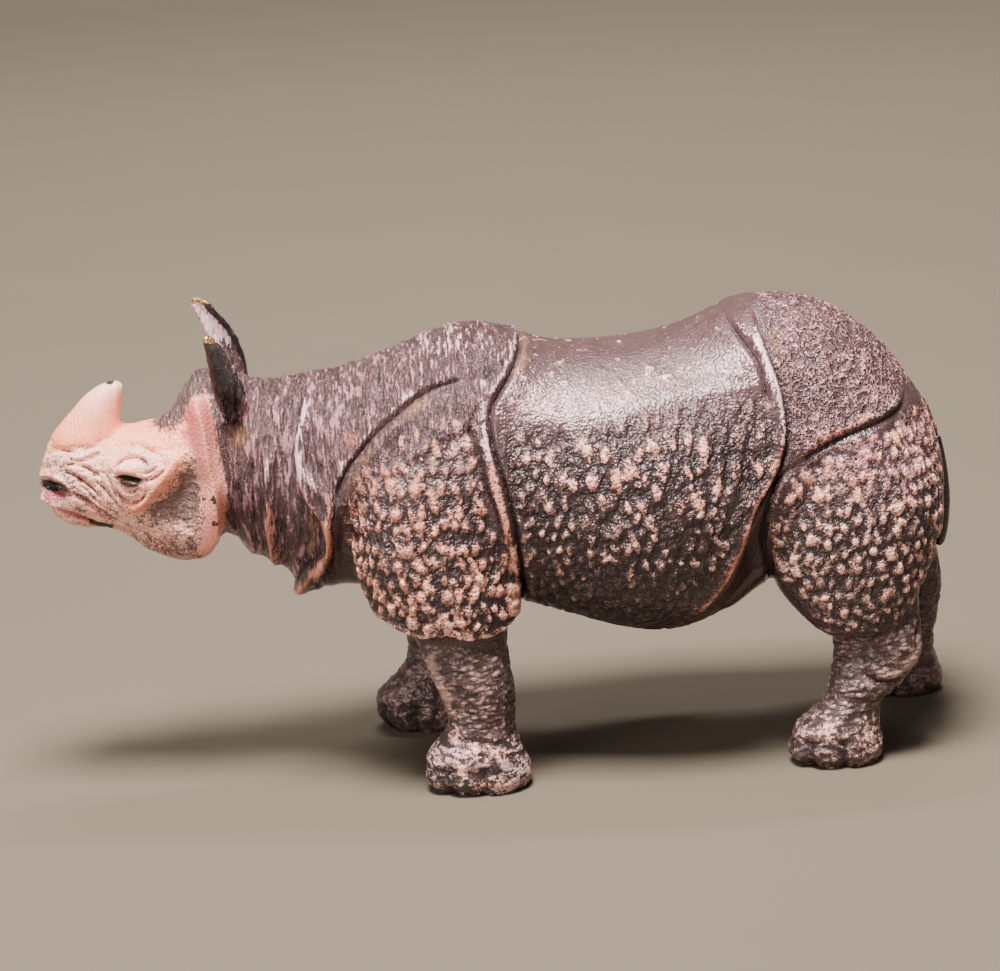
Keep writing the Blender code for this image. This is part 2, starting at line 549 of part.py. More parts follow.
def rhinoceros():
    """The whole figure as one closed solid."""
    figure = bpy.data.objects.new("rhinoceros", cast_mesh(shells()))
    collection = bpy.data.collections.new("rhinoceros_figurine")
    bpy.context.scene.collection.children.link(collection)
    collection.objects.link(figure)
    with_modifier(figure, "REMESH", mode="VOXEL", voxel_size=VOXEL)
    with_modifier(figure, "SMOOTH", factor=0.5, iterations=SMOOTH_ROUNDS)
    carve(figure.data)
    with_modifier(figure, "SMOOTH", factor=0.3, iterations=1)
    faces = len(figure.data.polygons)
    with_modifier(figure, "DECIMATE", ratio=TRIANGLES / (2 * faces))
    flat_soles(figure.data)
    figure.data.shade_smooth()
    figure.data.materials.clear()
    figure.data.materials.append(paint())
    return figure


def clear_scene():
    """Removes every object of the startup scene."""
    for obj in list(bpy.data.objects):
        bpy.data.objects.remove(obj)


clear_scene()
rhinoceros()
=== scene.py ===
"""The looks of a cold-painted bronze rhinoceros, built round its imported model.

The animal walks towards -X with its left side towards -Y, and stands on z = 0. Its forms
are tables in millimetres, as in the model's own source. They are cast into one fine mesh,
and the folds, the pebbles and the wrinkles of the hide are carved into it. The same fields
are kept on the mesh as attributes, and the paint is laid over them in thin coats.
"""

import itertools
import math

import bmesh
import bpy
import numpy as np
from mathutils import Matrix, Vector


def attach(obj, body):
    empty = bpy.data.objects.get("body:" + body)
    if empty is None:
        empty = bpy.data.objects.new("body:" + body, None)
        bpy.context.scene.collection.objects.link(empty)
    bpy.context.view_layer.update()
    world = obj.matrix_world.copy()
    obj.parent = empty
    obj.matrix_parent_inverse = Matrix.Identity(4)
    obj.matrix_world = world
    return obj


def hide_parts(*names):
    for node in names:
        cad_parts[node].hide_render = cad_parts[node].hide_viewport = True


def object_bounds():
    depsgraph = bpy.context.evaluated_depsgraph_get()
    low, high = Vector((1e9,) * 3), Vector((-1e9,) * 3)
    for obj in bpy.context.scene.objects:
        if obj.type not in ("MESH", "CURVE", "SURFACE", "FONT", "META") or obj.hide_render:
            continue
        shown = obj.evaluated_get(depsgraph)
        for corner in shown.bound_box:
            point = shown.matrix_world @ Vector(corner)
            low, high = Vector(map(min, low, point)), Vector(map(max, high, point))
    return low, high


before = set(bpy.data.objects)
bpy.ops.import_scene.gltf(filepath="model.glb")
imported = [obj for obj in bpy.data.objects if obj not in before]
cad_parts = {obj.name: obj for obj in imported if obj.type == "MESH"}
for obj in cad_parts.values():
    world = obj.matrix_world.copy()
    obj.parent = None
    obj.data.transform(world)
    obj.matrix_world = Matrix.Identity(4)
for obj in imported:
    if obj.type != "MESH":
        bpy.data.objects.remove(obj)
cad_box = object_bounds()

bl_info = {
    "name": "Painted Bronze Rhinoceros",
    "version": (1, 0, 0),
    "blender": (4, 5, 0),
    "location": "3D View > Sidebar > Rhinoceros",
    "description": "A cast and cold-painted bronze rhinoceros in a plain studio",
    "category": "Add Mesh",
}

MODEL_LENGTH = 152.6    # length of the animal in the tables
UNIT = (cad_box[1][0] - cad_box[0][0]) / MODEL_LENGTH
CENTRE = 0.4            # x in the tables of the middle between muzzle and heel
GROUND = 0.4            # height in the tables at which the soles are cut flat
AXIS_HEIGHT = 50.0      # the hide is carved outwards from a line at this height
LINE_FADE = 5.0         # a fold dies away over this length at each end
LINE_STEPS = 5          # pieces of a fold's curve between two of its points
RING_POINTS = 64        # points round a loft
RING_STEPS = 6          # rings between two stations of a loft
LATTICE = 64            # cells along a side of the random lattices before they repeat
CREASE_REACH = 2.5      # how far from a groove its distance is kept
RELIEF_LIMIT = 1.5      # the paint takes no relief beyond this height or depth
HEAD_BACK = -43.0       # the mesh is twice as fine ahead of this x

# Trunk, neck and head: upright sections from the muzzle to the rump.
# x, top, widest level, bottom, half width, squareness above, squareness below
TRUNK = (
    (-75.9, 54.6, 52.6, 50.6, 2.6, 2.0, 2.0),
    (-75.2, 57.0, 52.8, 49.2, 4.6, 2.0, 2.0),
    (-73.6, 60.0, 53.2, 47.6, 5.9, 2.0, 2.0),
    (-70.5, 61.6, 53.6, 46.0, 6.8, 2.0, 2.0),
    (-66.0, 62.0, 53.4, 44.9, 7.4, 2.0, 2.0),
    (-62.0, 61.8, 54.0, 43.2, 8.4, 2.1, 2.0),
    (-58.5, 62.0, 53.8, 40.2, 9.8, 2.2, 2.0),
    (-55.0, 63.3, 52.6, 38.7, 11.0, 2.1, 2.0),
    (-52.0, 66.6, 52.0, 38.2, 11.9, 1.9, 2.1),
    (-49.2, 69.9, 52.0, 38.8, 12.1, 1.9, 2.1),
    (-46.4, 70.4, 53.0, 41.4, 11.6, 1.9, 1.9),
    (-44.4, 70.2, 53.0, 40.2, 11.9, 1.9, 1.8),
    (-42.4, 69.9, 53.0, 37.8, 12.5, 1.9, 1.7),
    (-39.6, 69.0, 53.0, 36.8, 13.4, 1.9, 1.7),
    (-36.9, 68.6, 52.0, 34.6, 14.2, 1.9, 1.6),
    (-35.2, 68.6, 51.6, 31.8, 14.7, 1.9, 1.6),
    (-32.0, 68.8, 51.0, 31.4, 15.8, 1.9, 1.6),
    (-27.4, 69.3, 50.5, 32.4, 17.1, 1.9, 1.8),
    (-21.0, 70.7, 50.0, 31.6, 18.6, 1.9, 1.9),
    (-14.0, 72.9, 50.0, 30.4, 19.8, 1.9, 2.0),
    (-7.0, 75.1, 49.5, 29.6, 20.8, 1.9, 2.1),
    (-1.0, 75.2, 49.0, 28.8, 21.4, 1.9, 2.2),
    (3.5, 73.2, 48.5, 27.6, 22.0, 2.0, 2.2),
    (9.0, 71.2, 48.0, 25.6, 23.2, 2.1, 2.2),
    (16.0, 70.6, 47.0, 23.2, 24.8, 2.1, 2.2),
    (24.0, 70.9, 46.0, 21.5, 25.6, 2.1, 2.2),
    (31.0, 72.3, 46.0, 22.3, 25.2, 2.0, 2.2),
    (37.0, 74.7, 46.5, 25.0, 23.8, 2.0, 2.1),
    (42.0, 76.4, 47.5, 27.8, 22.2, 2.0, 2.0),
    (48.0, 76.6, 48.5, 29.8, 21.6, 2.0, 2.0),
    (54.0, 75.3, 48.5, 30.8, 21.4, 2.0, 2.0),
    (60.0, 71.7, 48.0, 31.6, 20.6, 2.0, 2.0),
    (65.5, 66.4, 47.0, 33.0, 18.8, 2.0, 2.0),
    (70.0, 59.6, 46.0, 35.0, 15.4, 2.0, 2.0),
    (72.6, 53.0, 45.0, 36.6, 11.0, 2.0, 2.0),
    (73.6, 48.4, 44.2, 39.6, 6.0, 2.0, 2.0),
)

# Plates and limbs: level sections, each from the top down.
# z, front, back, outer side, inner side; sides are distances from the middle.
SHOULDER_PLATE = (
    (68.0, -8.0, -3.5, 13.4, 9.0),
    (65.0, -12.4, -1.6, 16.4, 7.0),
    (60.0, -18.6, -0.6, 19.9, 5.0),
    (53.0, -24.0, 0.2, 22.6, 4.0),
    (45.0, -26.2, 1.0, 23.8, 4.0),
    (38.0, -25.6, 1.4, 24.0, 4.0),
    (33.0, -23.6, 1.5, 23.8, 5.0),
    (29.4, -21.0, 0.8, 23.2, 6.0),
    (27.4, -17.6, -1.4, 22.0, 7.6),
    (26.5, -13.4, -5.0, 19.8, 9.6),
)
THIGH_PLATE = (
    (62.0, 51.0, 60.0, 17.0, 7.0),
    (57.5, 46.5, 65.0, 20.0, 5.0),
    (52.0, 43.6, 69.0, 22.0, 4.0),
    (46.0, 42.2, 71.6, 23.2, 3.0),
    (40.0, 41.8, 71.8, 23.6, 3.0),
    (34.0, 42.6, 70.2, 23.2, 3.4),
    (29.0, 44.8, 68.0, 22.8, 4.6),
    (25.4, 47.6, 66.0, 22.4, 6.4),
    (23.0, 50.2, 63.6, 21.6, 8.4),
    (21.8, 53.0, 60.6, 20.0, 11.0),
)
NEAR_FORE_LEG = (
    (40.0, -17.0, -1.6, 20.6, 9.0),
    (29.0, -16.8, -0.8, 21.2, 9.2),
    (24.4, -15.8, -1.0, 21.4, 9.8),
    (20.6, -14.2, -0.6, 21.6, 10.4),
    (16.8, -12.6, -0.2, 21.6, 11.0),
    (13.0, -11.7, -0.4, 21.2, 11.4),
    (10.4, -12.2, -0.5, 21.2, 11.2),
    (8.0, -14.2, 0.2, 22.0, 10.4),
    (5.6, -15.9, 1.0, 22.8, 9.6),
    (3.6, -16.4, 1.8, 23.2, 9.2),
    (2.0, -16.2, 1.8, 23.0, 9.4),
    (0.9, -15.2, 1.2, 22.2, 10.0),
    (-1.6, -13.4, -0.6, 21.0, 11.2),
)
FAR_FORE_LEG = (
    (40.0, -18.0, -3.0, 20.6, 9.0),
    (29.0, -18.4, -3.6, 21.4, 9.8),
    (22.0, -17.4, -4.6, 21.8, 10.8),
    (16.0, -16.8, -5.6, 22.0, 11.6),
    (12.6, -17.2, -6.0, 21.8, 12.0),
    (10.4, -18.8, -6.2, 22.0, 11.8),
    (8.4, -21.0, -6.0, 22.8, 11.4),
    (6.0, -23.0, -5.4, 23.4, 11.0),
    (3.8, -23.4, -5.0, 23.6, 10.8),
    (2.0, -22.8, -5.2, 23.4, 11.0),
    (0.9, -21.8, -5.8, 22.6, 11.6),
    (-1.6, -20.0, -7.6, 21.4, 12.8),
)
NEAR_HIND_LEG = (
    (40.0, 51.0, 67.0, 20.0, 7.0),
    (30.0, 51.4, 67.2, 19.6, 7.6),
    (25.0, 52.0, 67.4, 19.8, 8.6),
    (21.0, 52.5, 67.4, 20.2, 9.4),
    (18.0, 52.6, 67.2, 20.4, 10.0),
    (15.4, 52.0, 65.8, 20.6, 10.6),
    (12.8, 51.3, 62.8, 20.8, 11.2),
    (10.6, 50.2, 60.4, 20.8, 11.2),
    (8.6, 48.2, 60.0, 21.4, 10.8),
    (6.6, 45.8, 59.9, 22.2, 10.2),
    (4.6, 44.4, 60.2, 22.8, 9.6),
    (3.0, 43.9, 60.4, 23.0, 9.4),
    (1.8, 44.2, 60.2, 22.8, 9.6),
    (0.9, 45.2, 59.6, 22.0, 10.2),
    (-1.6, 47.0, 57.8, 20.8, 11.4),
)
FAR_HIND_LEG = (
    (40.0, 58.0, 73.4, 20.0, 7.0),
    (30.0, 60.6, 75.2, 20.4, 8.2),
    (25.0, 62.4, 76.2, 20.8, 9.4),
    (20.0, 64.0, 76.8, 21.0, 10.6),
    (15.6, 65.0, 76.3, 21.2, 11.6),
    (12.0, 64.8, 75.6, 21.2, 12.0),
    (9.4, 64.0, 75.4, 21.4, 11.8),
    (7.2, 62.2, 75.6, 22.2, 11.4),
    (5.0, 60.9, 76.3, 22.8, 11.0),
    (3.2, 60.4, 76.8, 23.0, 10.8),
    (1.8, 60.8, 76.6, 22.8, 11.0),
    (0.9, 61.8, 76.0, 22.0, 11.6),
    (-1.6, 63.6, 74.2, 20.8, 12.8),
)
HORN = (
    (69.3, -63.4, -61.5, 0.9, -0.9),
    (68.5, -65.4, -60.9, 1.8, -1.8),
    (67.0, -67.6, -61.1, 2.5, -2.5),
    (65.0, -69.5, -61.6, 3.2, -3.2),
    (63.0, -71.5, -61.9, 3.9, -3.9),
    (61.0, -73.0, -61.7, 4.8, -4.8),
    (58.6, -74.2, -60.8, 5.4, -5.4),
    (56.0, -74.6, -60.4, 5.4, -5.4),
)

# Ears and tail are profiles carried along a path.
# x, y, z of the path, half width, half depth
NEAR_EAR = (
    (-42.8, -8.2, 63.0, 2.3, 2.1),
    (-43.1, -8.9, 66.2, 2.8, 2.4),
    (-43.6, -9.8, 69.4, 2.9, 2.4),
    (-44.3, -10.7, 72.6, 2.4, 2.0),
    (-45.2, -11.5, 75.6, 1.7, 1.6),
    (-46.0, -12.1, 77.8, 1.1, 1.2),
    (-46.3, -12.3, 78.7, 0.6, 0.6),
)
FAR_EAR = (
    (-43.0, 8.2, 63.0, 2.3, 2.1),
    (-42.8, 8.9, 66.2, 2.9, 2.4),
    (-43.3, 9.7, 70.0, 3.0, 2.4),
    (-44.5, 10.6, 73.6, 2.7, 2.0),
    (-46.3, 11.3, 76.6, 2.1, 1.7),
    (-48.0, 11.8, 78.7, 1.5, 1.3),
    (-49.0, 12.0, 79.6, 0.8, 0.8),
)
TAIL = (
    (67.0, 0.0, 61.0, 2.4, 1.6),
    (71.2, 0.0, 54.6, 2.2, 1.6),
    (73.3, 0.0, 47.6, 2.0, 1.5),
    (74.2, 0.0, 41.0, 1.8, 1.4),
    (74.0, 0.0, 36.0, 1.9, 1.4),
    (73.5, 0.0, 32.6, 2.0, 1.2),
    (73.2, 0.0, 31.4, 1.4, 0.8),
)
EAR_HOLLOW = 0.55       # depth of the ear's hollow as a share of its half depth
EAR_TURN = 62.0         # degrees from straight ahead that the hollow faces inwards

# Folds of the hide, drawn on the side of the animal and cut or raised square to it.
# side (-1 near, 1 far, 0 both), height on the line, its half width,
# height beside it to the left of the way the line runs and to its right,
# distance at which those peak, and the line's points (x, z).
JAW_RIDGE = ((-49.4, 68.6), (-48.6, 65.0), (-48.0, 61.2), (-47.7, 56.8), (-47.2, 53.1), (-47.4, 48.8),
             (-48.0, 43.9), (-50.0, 40.4))
CHEEKBONE = ((-50.8, 60.4), (-52.9, 57.6), (-55.2, 54.6), (-58.2, 51.2), (-62.0, 48.6))
NECK_FLAP = ((-37.4, 63.0), (-37.1, 59.2), (-38.2, 55.8), (-39.0, 52.2), (-38.8, 48.1), (-38.9, 44.0),
             (-38.6, 39.0), (-37.6, 33.0))
BIB_RIM = ((-31.8, 68.8), (-32.1, 66.0), (-32.8, 63.4), (-33.8, 60.4), (-34.1, 58.2), (-34.0, 55.6),
           (-33.6, 52.9), (-32.7, 50.5), (-31.2, 48.3), (-30.3, 46.0), (-30.1, 42.2), (-31.7, 38.9),
           (-33.9, 35.8), (-36.4, 31.0), (-38.0, 28.0))
PLATE_TOP = ((-4.4, 69.2), (-9.4, 68.0), (-12.9, 66.5), (-15.7, 64.7), (-18.6, 62.6),
             (-20.8, 60.8), (-22.9, 58.7), (-25.2, 56.2), (-26.7, 53.6), (-27.5, 51.5), (-28.0, 46.0),
             (-28.4, 41.8), (-28.8, 36.0))
SHOULDER_FOLD = ((5.4, 76.0), (4.6, 73.0), (3.4, 70.8), (1.2, 68.0), (-1.2, 65.2), (-2.0, 63.0),
                 (-2.0, 60.2),
                 (-1.4, 56.8), (-0.4, 52.8), (0.2, 49.7), (0.9, 45.2), (1.5, 39.7), (1.9, 33.8),
                 (2.0, 27.0))
SHOULDER_STRAP = ((-2.0, 66.4), (-4.2, 63.9), (-5.1, 61.7), (-4.0, 57.3), (-3.3, 52.7), (-1.8, 48.0),
                  (-0.8, 42.0))
HIP_FOLD = ((42.6, 76.2), (42.9, 74.2), (43.2, 72.4), (44.1, 68.9), (45.1, 65.5), (45.6, 62.4),
            (45.8, 59.3),
            (45.4, 56.0), (44.4, 52.7), (43.2, 50.3), (41.6, 48.0), (39.9, 45.3), (38.7, 41.7),
            (37.4, 38.4),
            (35.6, 34.8), (33.2, 31.2), (31.4, 28.8), (29.0, 26.0), (27.0, 24.2))
RUMP_FOLD = ((67.2, 62.4), (66.0, 60.4), (64.4, 59.2), (61.9, 58.4), (58.6, 57.6), (55.6, 56.8),
             (52.9, 55.8),
             (50.6, 54.8), (48.8, 53.8), (46.0, 51.8))
FOLDS = (
    (0, 1.7, 1.7, -1.4, -0.9, 2.8, JAW_RIDGE),
    (0, 1.1, 1.2, -1.2, 0.1, 2.6, CHEEKBONE),
    # lids, slit and bag of the eye, and the crease from its corner
    (0, -0.75, 0.3, 0.15, 0.3, 0.6,
     ((-63.2, 55.4), (-62.4, 57.0), (-61.0, 58.0), (-59.4, 58.3), (-58.0, 57.8), (-57.0, 56.4))),
    (0, -1.2, 0.4, 0.3, 0.1, 0.6, ((-63.2, 54.7), (-62.0, 55.3), (-60.6, 55.3), (-59.2, 54.9),
                                   (-57.8, 54.5))),
    (0, 0.5, 0.32, -0.3, -0.2, 0.6, ((-62.8, 54.2), (-62.0, 52.9), (-60.8, 52.3), (-59.6, 52.5),
                                     (-58.6, 53.7))),
    (0, -0.7, 0.32, 0.3, 0.2, 0.7,
     ((-63.4, 53.8), (-62.6, 52.0), (-61.2, 50.9), (-59.6, 50.9), (-58.4, 52.0), (-57.6, 53.6))),
    (0, -0.7, 0.32, 0.3, 0.4, 0.8, ((-58.6, 54.8), (-57.0, 54.9), (-55.6, 55.7), (-54.4, 56.8))),
    (0, -0.5, 0.3, 0.2, 0.3, 0.7, ((-58.4, 55.6), (-57.0, 56.2), (-55.6, 57.2))),
    (0, -0.45, 0.35, 0.2, 0.2, 0.8, ((-63.6, 59.6), (-61.6, 60.1), (-59.2, 60.2), (-56.8, 59.4),
                                     (-55.0, 58.2))),
    # wrinkles of the nose and the cheek
    (0, -0.5, 0.3, 0.3, 0.25, 0.7, ((-74.6, 58.2), (-72.6, 59.5), (-70.6, 59.4), (-68.8, 58.9))),
    (0, -0.5, 0.3, 0.3, 0.2, 0.7, ((-70.6, 58.0), (-68.3, 57.8), (-66.3, 58.4), (-64.4, 59.3))),
    (0, -0.6, 0.3, 0.2, 0.25, 0.7, ((-71.8, 57.0), (-70.0, 57.4), (-68.2, 57.0), (-66.4, 56.0),
                                    (-64.8, 54.6))),
    (0, -0.7, 0.3, 0.3, 0.3, 0.8, ((-71.8, 56.0), (-70.0, 55.8), (-68.4, 54.7), (-66.8, 53.3),
                                   (-65.0, 51.3))),
    (0, -0.9, 0.35, 0.4, 0.3, 0.8, ((-70.6, 52.9), (-69.0, 52.2), (-67.4, 51.0), (-65.8, 49.6),
                                    (-64.2, 48.0), (-62.6, 46.2))),
    (0, -0.4, 0.25, 0.15, 0.15, 0.6, ((-69.4, 54.6), (-67.6, 53.0), (-66.0, 51.2), (-64.4, 49.6))),
    (0, -0.45, 0.28, 0.15, 0.15, 0.6, ((-66.6, 54.8), (-65.0, 53.4), (-63.6, 51.4), (-62.4, 49.6),
                                       (-60.6, 48.2))),
    (0, -0.4, 0.25, 0.15, 0.15, 0.6, ((-65.4, 56.4), (-64.0, 54.8), (-63.4, 52.6), (-62.4, 50.8))),
    (0, -0.35, 0.3, 0.15, 0.15, 0.7, ((-68.4, 45.6), (-65.6, 44.8), (-63.0, 44.4), (-60.0, 43.4),
                                      (-57.6, 41.6))),
    (0, -0.35, 0.3, 0.15, 0.15, 0.7, ((-63.0, 46.4), (-60.4, 45.8), (-58.4, 44.4), (-56.4, 42.6),
                                      (-54.8, 40.4))),
    # rim of the nostril
    (0, 0.6, 0.5, -0.1, 0.0, 1.0, ((-76.2, 54.4), (-74.6, 55.4), (-73.4, 55.5), (-72.0, 54.9),
                                   (-70.8, 53.6), (-70.2, 52.0))),
    (0, 0.5, 0.4, 0.0, -0.2, 0.8, ((-76.4, 51.7), (-74.6, 51.4), (-73.0, 50.9), (-71.4, 50.9))),
    # mouth between its lips
    (0, -2.2, 0.8, 0.7, 0.6, 1.4,
     ((-77.4, 50.6), (-75.6, 49.7), (-74.2, 49.2), (-72.6, 48.8), (-70.2, 48.1), (-67.8, 47.0),
      (-65.5, 46.1),
      (-63.0, 45.5))),
    (0, 0.9, 0.9, -0.9, -0.2, 1.8, NECK_FLAP),
    (0, -0.6, 0.4, 0.0, 0.4, 1.1, ((-40.6, 60.0), (-41.2, 55.0), (-41.4, 50.0), (-41.4, 44.0),
                                   (-41.2, 38.0))),
    (0, -0.9, 0.4, 1.3, -0.8, 1.2, BIB_RIM),
    (0, 0.6, 0.8, -1.0, 0.0, 1.8,
     ((-33.6, 58.2), (-30.8, 53.6), (-28.5, 50.9), (-28.1, 47.0), (-28.8, 42.5), (-30.6, 38.0),
      (-32.4, 34.0))),
    (0, -0.55, 0.3, 0.35, 0.6, 1.0, PLATE_TOP),
    # crease of the withers
    (0, -0.6, 0.3, 0.2, 0.3, 0.8, ((-10.7, 73.6), (-10.9, 71.8), (-11.4, 69.8), (-11.6, 66.6))),
    (0, -1.0, 0.38, 0.35, 0.9, 1.1, SHOULDER_FOLD),
    (0, -0.7, 0.35, 0.35, 0.1, 0.8, SHOULDER_STRAP),
    # double fold of the hip
    (0, -0.9, 0.4, 0.5, 0.1, 1.0,
     ((37.8, 75.4), (38.3, 74.0), (39.6, 72.2), (41.1, 69.9), (42.0, 68.1), (42.6, 64.6), (43.2, 60.6))),
    (0, -0.9, 0.38, 0.0, 1.0, 1.1, HIP_FOLD),
    # crease of the groin
    (0, -0.4, 0.5, 0.5, 0.0, 1.2, ((42.0, 35.0), (39.5, 32.4), (36.8, 29.8), (33.6, 26.6))),
    (0, -0.55, 0.5, 0.05, 0.8, 1.5, RUMP_FOLD),
    # front edge of the thigh plate
    (0, -0.9, 0.6, 0.4, 0.0, 1.4,
     ((48.0, 52.6), (44.6, 51.4), (42.7, 48.3), (42.0, 44.0), (42.0, 39.3), (42.8, 32.6), (44.0, 28.0))),
    # rolled hem of the shoulder plate
    (0, 0.6, 0.45, 0.0, -0.4, 1.0,
     ((-24.8, 33.6), (-21.6, 31.2), (-18.7, 30.0), (-15.6, 28.4), (-11.7, 28.8), (-7.4, 27.6), (-3.5, 27.8),
      (0.0, 29.3), (1.6, 31.0))),
    # creases above and below the hock
    (-1, -0.7, 0.5, 0.3, 0.3, 1.1, ((68.0, 19.0), (66.0, 16.2), (62.6, 14.4), (59.0, 14.8), (55.4, 17.6))),
    (-1, -0.5, 0.35, 0.3, 0.2, 0.9, ((67.6, 25.0), (65.8, 21.6), (65.8, 18.6))),
    (1, -0.7, 0.5, 0.3, 0.3, 1.1, ((79.0, 18.0), (75.0, 15.2), (71.6, 14.0), (68.0, 15.0), (65.0, 17.6))),
    # tendon down the front of each foreleg
    (-1, 0.6, 0.7, -0.3, 0.0, 1.6, ((-15.8, 27.0), (-13.6, 21.6), (-11.8, 16.8), (-10.8, 11.0))),
    (1, 0.6, 0.7, -0.3, 0.0, 1.6, ((-17.0, 27.0), (-16.4, 21.6), (-16.0, 16.8), (-16.4, 11.0))),
    # creases over the near forefoot
    (-1, -0.4, 0.4, 0.2, 0.2, 0.9, ((-13.4, 8.4), (-10.6, 9.4), (-7.0, 9.6), (-3.4, 9.0), (0.4, 7.0))),
)

# Bosses and hollows on the side of the animal, fading out from a middle.
# side, x, z of the middle, half length, half height, degrees the length rises, height
STAMPS = (
    (0, -60.2, 55.6, 2.7, 2.3, -10.0, 0.9),     # socket of the eye
    (0, -60.2, 56.5, 1.9, 0.9, 4.0, 0.6),      # upper lid
    (0, -60.4, 54.2, 1.2, 0.7, -6.0, 0.45),    # eyeball
    (0, -51.8, 51.0, 2.4, 4.6, -25.0, -1.2),    # hollow between cheekbone and jaw
    (0, -73.1, 53.2, 2.1, 1.15, -20.0, -2.2),   # nostril
    (0, -30.4, 43.6, 1.8, 4.6, 20.0, -0.5),     # recess inside the bib
    (0, -27.0, 44.0, 1.2, 6.0, 0.0, -0.7),      # recess before the shoulder plate
    (0, 40.4, 38.6, 2.6, 7.0, -18.0, -1.5),     # hollow of the groin
    (0, -41.0, 66.6, 1.1, 2.2, 62.0, 0.5),      # lobe behind the ear
    (-1, 64.6, 20.4, 3.2, 3.4, 0.0, 0.6),       # near hock
    (1, 73.4, 19.6, 3.2, 3.4, 0.0, 0.6),        # far hock
    (-1, 56.0, 18.6, 3.6, 3.0, 30.0, -0.4),     # hollow of the shin
)

# Feet: side, x and distance out of the middle, half length, turn of the middle toe from ahead
FEET = (
    (-1, -7.2, 16.2, 8.6, 12.0),
    (1, -14.2, 17.2, 8.6, 12.0),
    (-1, 52.4, 16.2, 8.0, 12.0),
    (1, 68.8, 17.0, 8.0, 12.0),
)
TOE_SPREAD = 62.0       # degrees between the middles of two toes
TOE_CLEFT = 0.9         # depth of the cleft between two toes
NAIL_TOP = 6.2          # height of the cleft's top, where the skin covers the nails
NAIL_STEP = 0.45        # the skin stands this far over the nails

# Regions of the hide on the side of the animal: softness of the edge, then its outline (x, z).
REGIONS = {
    "shoulder": (3.0, ((-27.0, 44.0), (-26.2, 50.0), (-22.8, 56.2), (-17.7, 60.6), (-12.2, 63.4),
                       (-7.2, 64.8),
                       (-4.4, 62.0), (-3.8, 52.0), (-2.2, 45.0), (0.8, 42.0), (1.4, 34.0), (0.4, 29.0),
                       (-7.6, 27.2), (-17.0, 28.8), (-23.4, 33.0), (-26.2, 38.0))),
    "yoke": (1.6, ((-27.0, 50.0), (-22.2, 57.8), (-17.9, 61.9), (-12.3, 65.8), (-8.8, 67.2), (-3.6, 68.6),
                   (-1.6, 66.4), (-4.4, 62.0), (-12.0, 59.6), (-20.0, 55.0), (-24.0, 49.0))),
    "flank": (3.6, ((-0.2, 60.7), (6.1, 60.8), (10.9, 60.4), (16.7, 60.9), (21.8, 62.6), (27.6, 63.6),
                    (32.6, 64.0), (38.5, 63.6), (43.6, 63.4), (44.0, 55.0), (42.0, 50.6), (39.2, 46.0),
                    (37.4, 42.0), (35.2, 37.0), (32.6, 33.0), (29.0, 28.0), (24.0, 24.0), (10.0, 26.0),
                    (2.8, 29.0), (2.4, 38.0), (1.6, 46.0), (0.2, 53.0))),
    "thigh": (3.0, ((45.6, 50.6), (49.2, 53.2), (52.7, 54.8), (58.0, 56.2), (62.4, 57.0), (66.6, 59.0),
                    (71.0, 58.0), (75.0, 50.0), (75.0, 40.0), (71.0, 32.0), (68.0, 27.0), (64.0, 24.4),
                    (59.0, 23.2), (54.0, 23.4), (49.6, 25.6), (46.0, 30.0), (43.6, 35.0), (42.6, 41.0),
                    (42.8, 46.0))),
    "neck": (2.4, ((-46.0, 36.0), (-46.0, 62.0), (-45.0, 80.0), (4.6, 80.0), (2.4, 70.0), (-1.6, 66.0),
                   (-5.0, 68.6), (-12.9, 66.9), (-18.6, 63.0), (-22.9, 59.2), (-26.9, 54.0), (-28.2, 46.0),
                   (-28.6, 38.0), (-30.0, 32.0), (-38.0, 26.0), (-46.0, 30.0))),
    "rump": (2.4, ((43.8, 80.0), (44.0, 70.0), (46.2, 62.0), (46.2, 52.6), (49.0, 54.4), (54.0, 57.2),
                   (61.0, 59.0), (66.6, 62.0), (72.0, 58.0), (80.0, 60.0), (80.0, 80.0))),
    "back": (3.0, ((5.8, 80.0), (4.0, 71.0), (0.6, 66.0), (0.0, 61.4), (16.7, 62.0), (27.6, 65.4),
                   (41.0, 66.4), (38.6, 73.0), (37.6, 80.0))),
    "head": (1.0, ((-80.0, 36.0), (-80.0, 72.0), (-58.0, 72.0), (-50.0, 70.0), (-47.0, 68.4), (-46.3, 64.0),
                   (-46.2, 60.1), (-45.6, 56.1), (-45.3, 52.4), (-45.7, 47.8), (-46.6, 42.0),
                   (-48.0, 36.0))),
    "hump": (1.2, ((-57.2, 62.6), (-55.2, 62.3), (-53.4, 62.9), (-51.2, 64.7), (-49.5, 66.8), (-47.2, 68.2),
                   (-44.0, 68.0), (-44.0, 80.0), (-57.2, 80.0))),
    "jaw_band": (0.8, ((-51.6, 64.9), (-50.4, 61.6), (-49.4, 58.4), (-49.2, 55.0), (-48.8, 51.4),
                       (-48.7, 48.0),
                       (-49.6, 44.6), (-51.0, 41.0), (-48.0, 39.0), (-46.0, 44.0), (-45.4, 49.0),
                       (-45.2, 53.0),
                       (-45.6, 58.0), (-46.2, 63.6), (-47.4, 67.6))),
    "jowl": (1.6, ((-51.0, 57.4), (-49.8, 55.0), (-49.6, 50.8), (-49.4, 47.6), (-53.0, 47.0), (-58.0, 46.4),
                   (-59.0, 48.6), (-56.0, 51.4), (-53.4, 54.8))),
    "horn": (0.8, ((-76.0, 61.0), (-72.8, 60.5), (-70.6, 60.3), (-68.2, 60.1), (-65.9, 60.4), (-63.9, 61.1),
                   (-62.3, 61.9), (-58.0, 63.0), (-58.0, 74.0), (-76.0, 74.0))),
    "hem": (1.2, ((-8.2, 39.2), (-0.6, 38.2), (1.4, 34.3), (-1.0, 29.0), (-8.6, 27.6), (-12.0, 30.0))),
}

